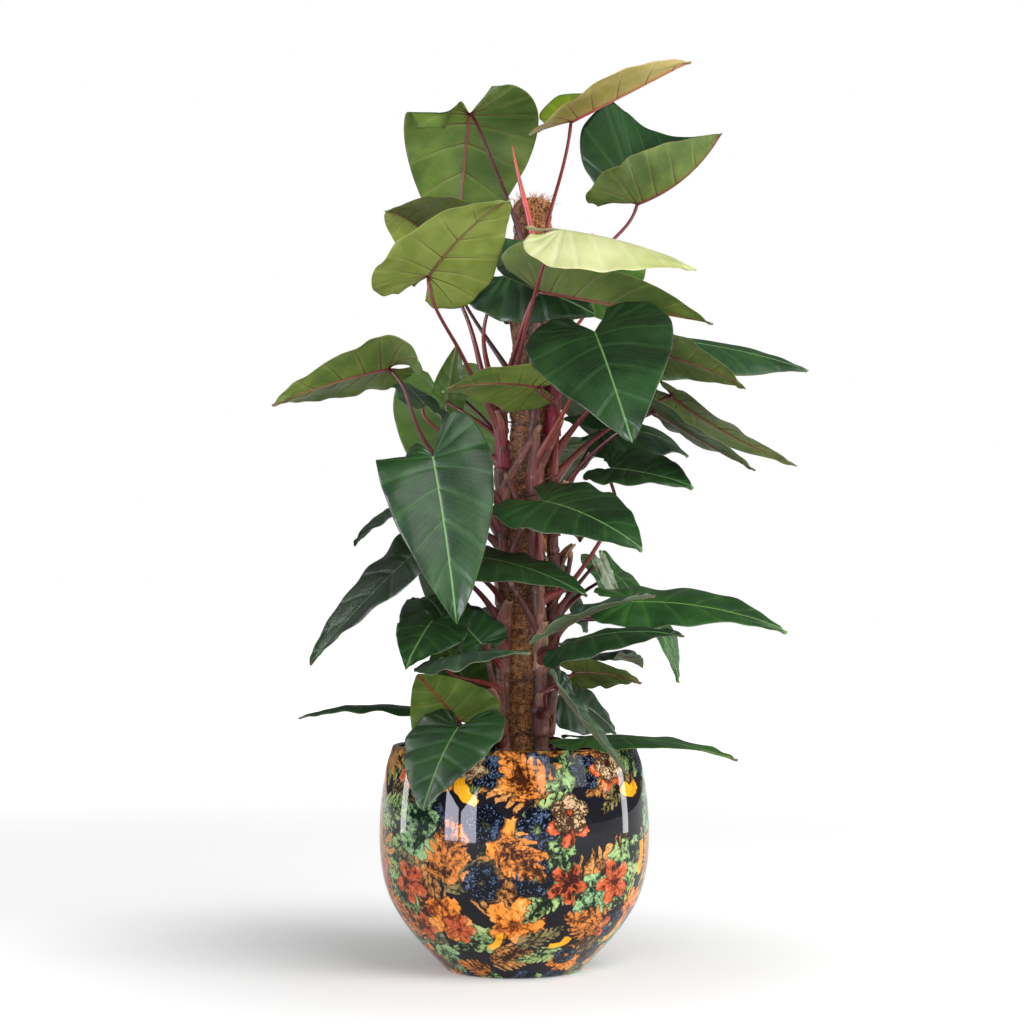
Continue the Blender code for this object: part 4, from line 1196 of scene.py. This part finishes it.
class PLANT_OT_pot(bpy.types.Operator):
    """Turns the pot's thin wall and glazes it with its print"""

    bl_idname = "plant.pot"
    bl_label = "Pot"

    def execute(self, context):
        ground = tuple(context.scene.plant_colours.ground)
        radii, heights = zip(*inner_side())
        inner = [(catmull(radii, i / 30), catmull(heights, i / 30)) for i in range(31)]
        half = POT_WALL / 2
        turns = [pi * (1 - k / (LIP_STEPS + 1)) for k in range(1, LIP_STEPS + 1)]
        lip_foot = POT_HEIGHT - 0.001
        lip = [(POT_RIM_RADIUS - half + half * cos(a), lip_foot + LIP_RISE * sin(a)) for a in turns]
        foot = [(POT_FOOT_RADIUS - FOOT_STEP, 0.0), (POT_FOOT_RADIUS - 4 * FOOT_STEP, 0.0), (0.0, 0.0)]
        wall = pot_outline(46)[::-1][:-1] + [(POT_FOOT_RADIUS + 0.0012, 0.0009)]
        profile = [(0.0, POT_FLOOR)] + inner + lip + wall + foot
        rows = [0.0]
        for (r, z), (next_r, next_z) in zip(profile, profile[1:]):
            step = hypot(next_r - r, next_z - z) / (2 * pi * max(0.05, (r + next_r) / 2))
            rows.append(rows[-1] + step)
        inside = len(inner) + 3
        slots = [0 if inside <= i < inside + len(wall) + 6 else 1 for i in range(len(profile))]
        skin = Skin()
        skin.turned(profile, POT_SIDES, slots, rows)
        settle(skin.build("glazed_pot", [print_finish(ground), glaze_finish(ground)]), "pot", "pot")
        return {"FINISHED"}


def scatter_tree(name, shape, lean, low, high):
    """Puts a shape on random points of a surface, turned and scaled at random."""
    tree = bpy.data.node_groups.new(name, "GeometryNodeTree")
    kinds = {"Surface": "Geometry", "Density": "Float", "Length": "Float", "Thickness": "Float",
             "Seed": "Int", "Finish": "Material"}
    for label, kind in kinds.items():
        tree.interface.new_socket(label, in_out="INPUT", socket_type="NodeSocket" + kind)
    tree.interface.new_socket("Pieces", in_out="OUTPUT", socket_type="NodeSocketGeometry")
    g = Graph(tree)
    source = tree.nodes.new("NodeGroupInput")
    wires = {label: Wire(g, source.outputs[label]) for label in kinds}
    seed = wires["Seed"]
    points = g.add("GeometryNodeDistributePointsOnFaces", None, {
        "Mesh": wires["Surface"], "Density": wires["Density"], "Seed": seed}, "Points")
    drawn = {"data_type": "FLOAT_VECTOR"}
    turn = g.add("FunctionNodeRandomValue", drawn, {
        0: (-lean, -lean, 0.0), 1: (lean, lean, 2 * pi), "Seed": seed + 1})
    size = g.add("FunctionNodeRandomValue", drawn, {0: low, 1: high, "Seed": seed + 2})
    turned = g.add("FunctionNodeRotateRotation", {"rotation_space": "LOCAL"}, {
        "Rotation": Wire(g, points.socket.node.outputs["Rotation"]),
        "Rotate By": g.add("FunctionNodeEulerToRotation", None, (turn,))})
    copies = g.add("GeometryNodeInstanceOnPoints", None, {
        "Points": points, "Instance": shape(g, wires), "Rotation": turned, "Scale": size})
    real = g.add("GeometryNodeRealizeInstances", None, {"Geometry": copies})
    done = g.add("GeometryNodeSetMaterial", None, {"Geometry": real, "Material": wires["Finish"]})
    tree.links.new(done.socket, tree.nodes.new("NodeGroupOutput").inputs[0])
    return tree


def fibre(g, wires):
    """A bent coir strand with three sides."""
    reach = wires["Length"]
    line = g.add("GeometryNodeCurveQuadraticBezier", None, {
        "Resolution": 4, "Start": g.join(reach * -0.5, 0.0, -0.002),
        "Middle": g.join(0.0, reach * 0.5, 0.0028), "End": g.join(reach * 0.5, reach * -0.15, -0.0015)})
    ring = g.add("GeometryNodeCurvePrimitiveCircle", None, {"Resolution": 3, "Radius": wires["Thickness"]})
    return g.add("GeometryNodeCurveToMesh", None, {"Curve": line, "Profile Curve": ring, "Fill Caps": True})


def crumb(g, wires):
    return g.add("GeometryNodeMeshIcoSphere", None, {"Radius": wires["Length"] * 0.5, "Subdivisions": 1})


def run_tree(name, surface, tree, values, slot):
    """Runs a tree on a surface and keeps its result as a plain mesh piece."""
    holder = place_object(name + "_source", surface.data)
    modifier = holder.modifiers.new("scatter", "NODES")
    modifier.node_group = tree
    for socket in tree.interface.items_tree:
        if socket.in_out == "INPUT" and socket.name in values:
            modifier[socket.identifier] = values[socket.name]
    bpy.context.view_layer.update()
    graph = bpy.context.evaluated_depsgraph_get()
    mesh = bpy.data.meshes.new_from_object(holder.evaluated_get(graph))
    bpy.data.objects.remove(holder)
    mesh.name = name
    if not mesh.polygons:
        raise RuntimeError(name + " came out empty")
    settle(place_object(name, mesh), slot)


class PLANT_OT_soil(bpy.types.Operator):
    """Fills the pot with uneven soil and strews crumbs over it"""

    bl_idname = "plant.soil"
    bl_label = "Soil"

    def execute(self, context):
        sizes = context.scene.plant_sizes
        finish = soil_finish(tuple(context.scene.plant_colours.soil))
        edge = inner_radius(SOIL_LEVEL) - SOIL_CLEARANCE
        shares = [i / SOIL_RINGS for i in range(SOIL_RINGS + 1)]
        top = [(edge * t, SOIL_LEVEL + SOIL_MOUND * (1 - t ** 2)) for t in shares]
        heights = [SOIL_LEVEL - (SOIL_LEVEL - POT_FLOOR - 0.02) * i / 12 for i in range(1, 13)]
        side = [(inner_radius(z) - SOIL_CLEARANCE, z) for z in heights]
        floor = [(inner_side()[0][0] - 0.002, POT_FLOOR + GAP), (0.0, POT_FLOOR + GAP)]

        def uneven(place):
            if place.z > SOIL_LEVEL - 0.001:
                place.z += 0.004 * noise.noise(place * 38) + 0.0015 * noise.noise(place * 120)
            return place

        skin = Skin()
        skin.turned(top + side + floor, 96, 0, None, uneven)
        settle(skin.build("soil_bed", [finish]), "soil", "soil")
        cover = Skin()
        cover.turned(top[:-1], 48, 0, None, uneven)
        surface = cover.build("crumb_ground", [finish])
        tree = scatter_tree("soil_crumbs", crumb, 3.1, (0.25, 0.3, 0.2), (1.0, 0.9, 0.75))
        values = {
            "Density": sizes.crumb_density, "Length": sizes.crumb_size, "Seed": sizes.seed, "Finish": finish}
        run_tree("soil_crumbs", surface, tree, values, "soil")
        bpy.data.objects.remove(surface)
        return {"FINISHED"}


class PLANT_OT_pole(bpy.types.Operator):
    """Wraps the climbing pole in matted coir with loose fibres and a frayed top"""

    bl_idname = "plant.pole"
    bl_label = "Coir Pole"

    def execute(self, context):
        sizes = context.scene.plant_sizes
        light = tuple(context.scene.plant_colours.coir)
        foot = POLE_FOOT - UP * 0.03
        path = [foot.lerp(POLE_TOP, i / POLE_RINGS) for i in range(POLE_RINGS + 1)]
        radii = []
        for place in path:
            wrap = 0.0009 * sin(2 * pi * place.z / WRAP_PITCH)
            radii.append(POLE_RADIUS * (1 + 0.04 * drift(0, 0, 9 * place.z)) + wrap)
        radii[-2:] = [POLE_RADIUS * 0.9, POLE_RADIUS * 0.7]
        skin = Skin()
        skin.tube(path, radii, 56, WHITE)
        for i, place in enumerate(skin.points):
            out = place - pole_axis(place.z)
            out.z = 0
            rough = 0.0022 * noise.noise(place * 90) + 0.0012 * noise.noise(place * 260)
            skin.points[i] = place + out.normalized() * rough
        pole = skin.build("coir_wrap", [coir_finish(light)])
        settle(pole, "coir", "coir_pole")
        finish = fibre_finish(light)
        values = {
            "Density": sizes.fibre_density, "Length": sizes.fibre_length, "Thickness": FIBRE_RADIUS,
            "Seed": sizes.seed, "Finish": finish}
        tree = scatter_tree("loose_fibres", fibre, 0.14, (0.5, 0.5, 0.7), (1.3, 1.3, 1.2))
        run_tree("coir_fibres", pole, tree, values, "coir")
        self.fray(finish)
        return {"FINISHED"}

    def fray(self, finish):
        """Bent strands that stand up from the pole's cut top."""
        rng = random.Random(5)
        skin = Skin()
        for _ in range(FRAYED_STRANDS):
            a, r = rng.uniform(0, 2 * pi), POLE_RADIUS * sqrt(rng.random())
            out = Vector((cos(a), sin(a), 0))
            start = POLE_TOP + out * r * 0.9 - UP * 0.012
            lean = out * rng.uniform(-0.004, 0.012)
            lean += Vector((rng.uniform(-0.008, 0.008), rng.uniform(-0.008, 0.008), 0))
            rise = UP * rng.uniform(0.010, 0.022)
            path = bow(start, start + rise * 0.6 - lean * 0.4, start + rise + lean, (0, 0.33, 0.66, 1))
            skin.tube(path, [0.0005, 0.0005, 0.0004, 0.0002], 4, WHITE)
        settle(skin.build("frayed_top", [finish]), "coir")


def blend_tints(first, second, share):
    return tuple(a + (b - a) * min(max(share, 0.0), 1.0) for a, b in zip(first, second))


def trunk_reach(angle, z):
    """How far out from the trunk's middle line the stems and the pole come, at an angle."""
    middle = Vector((TRUNK_MIDDLE, 0))
    way = Vector((cos(angle), sin(angle)))
    rounds = [(pole_axis(z), POLE_RADIUS)] + [(stem_point(key, z), stem_radius(key, z)) for key in STEMS]
    far = 0.0
    for place, radius in rounds:
        offset = place.xy - middle
        along = offset.dot(way)
        aside = offset.length_squared - along ** 2
        if aside < radius ** 2:
            far = max(far, along + sqrt(radius ** 2 - aside))
    return far


class PLANT_OT_stems(bpy.types.Operator):
    """Grows the four stems with their nodes, sheaths, roots and leaf stalks"""

    bl_idname = "plant.stems"
    bl_label = "Stems"

    def execute(self, context):
        petiole = tuple(context.scene.plant_colours.petiole)
        materials = [skin_finish(), root_finish(), bark_finish()]
        rng = random.Random(21)
        for key in STEMS:
            skin = Skin()
            self.stem(skin, key, rng)
            for leaf in LEAVES:
                if leaf.stem == key:
                    self.stalk(skin, leaf, petiole, rng)
            for make, rows in ((self.sheath, SHEATHS), (self.husk, HUSKS)):
                for owner, *row in rows:
                    if owner == key:
                        make(skin, key, *row)
            settle(skin.build("grown_stem_" + key, materials), "stem", "stem_" + key)
        self.ties(materials)
        return {"FINISHED"}

    def stem(self, skin, key, rng):
        """The stem itself: swollen rings at the nodes, and short roots below them."""
        points = STEMS[key][0]
        soil, top = points[0][2] * MM, points[-1][2] * MM
        low = soil - 0.02
        count = int((top - low) / STEM_STEP)
        path, radii, tints = [], [], []
        shift = 1.7 * points[0][0]
        first_node = soil + 0.030
        for i in range(count + 1):
            z = low + (top - low) * i / count
            place = stem_point(key, max(z, soil))
            if z < soil:
                place.z = z
            turn = (z - first_node) / INTERNODE
            off = abs(turn - round(turn)) * INTERNODE / MM
            ring = exp(-(off / 3.2) ** 2)
            groove = exp(-((off - 4.2) / 1.3) ** 2)
            swell = 0.95 + 0.20 * ring - 0.05 * groove + 0.12 * drift(0, 23 * z, shift)
            sway = Vector((drift(0, 26 * z, shift), drift(9, 26 * z, shift), 0))
            path.append(place + sway * STEM_SWAY)
            radii.append(stem_radius(key, z) * swell * (0.55 if i == count else 1.0))
            base = blend_tints(STEM_BROWN, STEM_TAN, 0.5 + 0.9 * drift(0, 17 * z, shift))
            base = blend_tints(base, BURGUNDY, (z - 0.45) * 0.9)
            tints.append(blend_tints(base, NODE_PALE, 0.45 * ring))
        skin.tube(path, radii, 18, tints, 2)
        for k in range(int((top - first_node) / INTERNODE)):
            z = first_node + INTERNODE * k - 0.004
            for _ in range(2):
                self.root(skin, stem_point(key, z), stem_radius(key, z), rng)

    def root(self, skin, start, radius, rng):
        """A short curled root that feels for the pole."""
        inward = (pole_axis(start.z) - start).normalized()
        across = inward.cross(UP) * rng.choice((-1, 1))
        reach = rng.uniform(0.012, 0.034)
        begin = start + across * radius * 0.6
        out = begin + across * reach * 0.5
        end = out + inward * reach * 0.4 + UP * (rng.uniform(-1.0, -0.2) * reach)
        path = bow(begin, out - UP * (0.3 * reach) - inward * 0.004, end, (0, 0.2, 0.4, 0.6, 0.8, 1))
        skin.tube(path, ROOT_RADII, 6, ROOT_BROWN, 1)

    def husk(self, skin, key, height, facing, length, width, lean, tint):
        """A sheath that clasps the stem, narrows upwards and leans or curls away at its top."""
        start = height * MM
        out = Vector((cos(radians(facing)), sin(radians(facing)), 0))
        tint = paint(tint)
        path, widths, tints = [], [], []
        for i in range(17):
            t = i / 16
            away = stem_radius(key, start) * 1.02 + 0.001 + lean * length * max(0.0, t - 0.25) ** 1.6 * 1.2
            path.append(stem_point(key, start + length * (t - 0.35 * lean * t ** 3)) + out * away)
            widths.append(width * (1 - 0.6 * t ** 2.5) * (0.94 + 0.10 * sin(9 * t + 40 * start)))
            tints.append(blend_tints(tint, PAPER, 0.8 * t ** 3))
        skin.trough(path, widths, out, tints, 2)

    def cling(self, skin, angles, heights, radii):
        """A root that lies on the stems and the pole, and bridges the gaps between them."""
        near = [trunk_reach(a, z) for a, z in zip(angles, heights)]
        last = len(near) - 1
        for _ in range(6):
            mean = [(near[max(i - 1, 0)] + near[i] + near[min(i + 1, last)]) / 3 for i in range(last + 1)]
            near = [max(m, trunk_reach(a, z)) for m, a, z in zip(mean, angles, heights)]
        path = []
        for a, z, reach, radius in zip(angles, heights, near, radii):
            out = reach + radius * 0.4
            path.append(Vector((TRUNK_MIDDLE + out * cos(a), out * sin(a), z)))
        skin.tube(path, radii, 6, ROOT_BROWN, 1)

    def ties(self, materials):
        """Wiry roots that have grown round the stems and the pole, and old stalks across it."""
        rng = random.Random(17)
        skin = Skin()
        steps = [i / 20 for i in range(21)]
        for *places, radius, tint in OLD_STALKS:
            foot, middle, end = [Vector(place) * MM for place in places]
            path = bow(foot, middle * 2 - (foot + end) / 2, end, steps)
            radii = [radius * MM * (1 - 0.30 * t ** 0.6) * (1 + 0.05 * sin(22 * t)) for t in steps]
            radii[-1] *= 0.8
            tints = [blend_tints(paint(tint), NODE_PALE, 0.5 - i / 10) for i in range(19)] + [PAPER, PAPER]
            skin.tube(path, radii, 12, tints, 2)
        for height, first, last in ROOT_TURNS:
            angles = [radians(first + (last - first) * k / 32) for k in range(33)]
            wave = [0.007 * drift(3 * a, 0.0, 57 * height) for a in angles]
            heights = [height + rise + 0.0001 * k for k, rise in enumerate(wave)]
            thick = rng.uniform(0.0011, 0.0018)
            self.cling(skin, angles, heights, [thick * (1 - 0.6 * abs(k / 16 - 1) ** 3) for k in range(33)])
        for _ in range(WIRY_ROOTS):
            z, a = rng.uniform(0.29, 0.76), rng.uniform(0, 2 * pi)
            reach, swing = rng.uniform(0.02, 0.07), rng.choice((-1, 1)) * rng.uniform(0.4, 1.2)
            angles = [a + swing * k / 18 + 0.2 * sin(0.4 * k + a) for k in range(19)]
            heights = [z - reach * k / 18 + 0.005 * sin(0.35 * k + a) for k in range(19)]
            self.cling(skin, angles, heights, [0.0013 * (1 - 0.7 * k / 18) for k in range(19)])
        settle(skin.build("clinging_roots", materials), "stem")

    def stalk(self, skin, leaf, petiole, rng):
        """A leaf stalk: wide where it clasps the stem, thin above, swollen under the blade."""
        count = PETIOLE_RINGS
        shares = [i / (count - 1) for i in range(count)]
        clasp = [PETIOLE_CLASP * max(0.0, 1 - 5 * i / count) ** 0.7 for i in range(count)]
        radii = [catmull(PETIOLE_RADII, t) + more for t, more in zip(shares, clasp)]
        radii[-2] *= 1.15
        radii[-1] *= 1.05
        drawn = blend_tints(petiole, RED, rng.uniform(-0.4, 0.7))
        base = leaf.tint or drawn
        foot = blend_tints(base, STEM_TAN, 0.35)
        skin.tube(petiole_path(leaf, count), radii, 12, [blend_tints(foot, base, 3 * t) for t in shares])

    def sheath(self, skin, key, start, tip, radius, foot, top):
        """A rolled, pointed sheath that guards the next leaf."""
        begin, end = stem_point(key, start * MM), Vector(tip) * MM
        line = smooth_path([begin, end], UP, (end - begin).normalized(), 26)
        sizes = [radius * MM * catmull((1.0, 1.0, 0.8, 0.5, 0.12), i / 25) for i in range(26)]
        skin.tube(line, sizes, 14, [blend_tints(paint(foot), paint(top), i / 25) for i in range(26)])


class PLANT_OT_leaves(bpy.types.Operator):
    """Shapes every leaf blade with its veins, quilting and margin"""

    bl_idname = "plant.leaves"
    bl_label = "Leaves"

    def execute(self, context):
        sizes = context.scene.plant_sizes
        rng = random.Random(3)
        ribs = skin_finish()
        finishes = {look: [blade_finish(look, True), blade_finish(look, False), ribs] for look in LOOKS}
        for leaf in LEAVES:
            skin = Skin()
            bend = Bend(leaf)
            fine_blade(skin, leaf, bend, sizes, rng.uniform(0.86, 1.12))
            blade_ribs(skin, leaf, bend, sizes)
            item = skin.build(leaf.name.replace("leaf", "blade"), finishes[leaf.look])
            settle(item, "blade_" + leaf.colour, leaf.name)
        return {"FINISHED"}


class PLANT_OT_stage(bpy.types.Operator):
    """Sets the pale floor, the soft lights and the camera"""

    bl_idname = "plant.stage"
    bl_label = "Stage"

    def execute(self, context):
        stage = context.scene.plant_stage
        mesh = bpy.data.meshes.new("floor")
        shape = bmesh.new()
        bmesh.ops.create_circle(shape, cap_ends=True, segments=96, radius=30.0)
        bmesh.ops.translate(shape, verts=shape.verts, vec=(0, 0, -0.0005))
        shape.to_mesh(mesh)
        shape.free()
        mesh.materials.append(floor_finish(tuple(stage.floor)))
        floor = place_object("floor", mesh)
        self.surround(context.scene, stage.surround)
        for name, place, height, size, power, diffuse, glossy, tint in LIGHTS:
            lamp = bpy.data.lights.new(name, "AREA")
            lamp.shape = "RECTANGLE"
            lamp.size, lamp.size_y = size
            lamp.energy = getattr(stage, power)
            lamp.color = tint
            item = self.aimed(name, lamp, place, (0, 0, height))
            item.visible_camera = False
            item.visible_diffuse = diffuse
            item.visible_glossy = glossy
        camera = bpy.data.cameras.new("photograph")
        camera.sensor_width = 36
        camera.lens = 18 / tan(radians(CAMERA_HALF_ANGLE))
        camera.dof.use_dof = False
        context.scene.camera = self.aimed("photograph", camera, CAMERA_PLACE, CAMERA_AIM)
        context.scene.view_settings.view_transform = "Standard"
        return {"FINISHED"}

    def surround(self, scene, strength):
        """A white world that the camera sees bright and a glossy surface sees dimmer."""
        world = bpy.data.worlds.new("white_surround")
        world.use_nodes = True
        g = Graph(world.node_tree)
        path = g.add("ShaderNodeLightPath", out="Is Camera Ray")
        diffuse = Wire(g, path.socket.node.outputs["Is Diffuse Ray"])
        background = g.tree.nodes["Background"]
        g.put(background.inputs["Color"], WHITE)
        g.put(background.inputs["Strength"], 0.16 + path * 0.84 + diffuse * (strength - 0.16))
        scene.world = world

    def aimed(self, name, data, place, aim):
        """A light or camera that looks from one point at another."""
        item = place_object(name, data)
        item.location = place
        item.rotation_euler = (Vector(aim) - Vector(place)).to_track_quat("-Z", "Y").to_euler()
        return item


class PLANT_PT_panel(bpy.types.Panel):
    """Lists the steps that make the plant"""

    bl_idname = "PLANT_PT_panel"
    bl_label = "Potted Philodendron"
    bl_space_type = "VIEW_3D"
    bl_region_type = "UI"
    bl_category = "Philodendron"

    def draw(self, context):
        for step in STEPS:
            self.layout.operator(step.bl_idname)
        for group in [getattr(context.scene, name) for name in GROUPS]:
            for name in group.bl_rna.properties.keys():
                if name not in ("rna_type", "name"):
                    self.layout.prop(group, name)


GROUPS = {"plant_sizes": PlantSizes, "plant_colours": PlantColours, "plant_stage": StageSettings}
STEPS = (PLANT_OT_pot, PLANT_OT_soil, PLANT_OT_pole, PLANT_OT_stems, PLANT_OT_leaves, PLANT_OT_stage)
CLASSES = (*GROUPS.values(), *STEPS, PLANT_PT_panel)


def register():
    for item in CLASSES:
        bpy.utils.register_class(item)
    for name, group in GROUPS.items():
        setattr(bpy.types.Scene, name, PointerProperty(type=group))


def unregister():
    for name in GROUPS:
        delattr(bpy.types.Scene, name)
    for item in reversed(CLASSES):
        bpy.utils.unregister_class(item)


def main():
    register()
    bpy.ops.plant.pot()
    bpy.ops.plant.soil()
    bpy.ops.plant.pole()
    bpy.ops.plant.stems()
    bpy.ops.plant.leaves()
    bpy.ops.plant.stage()


if __name__ == "__main__":
    main()
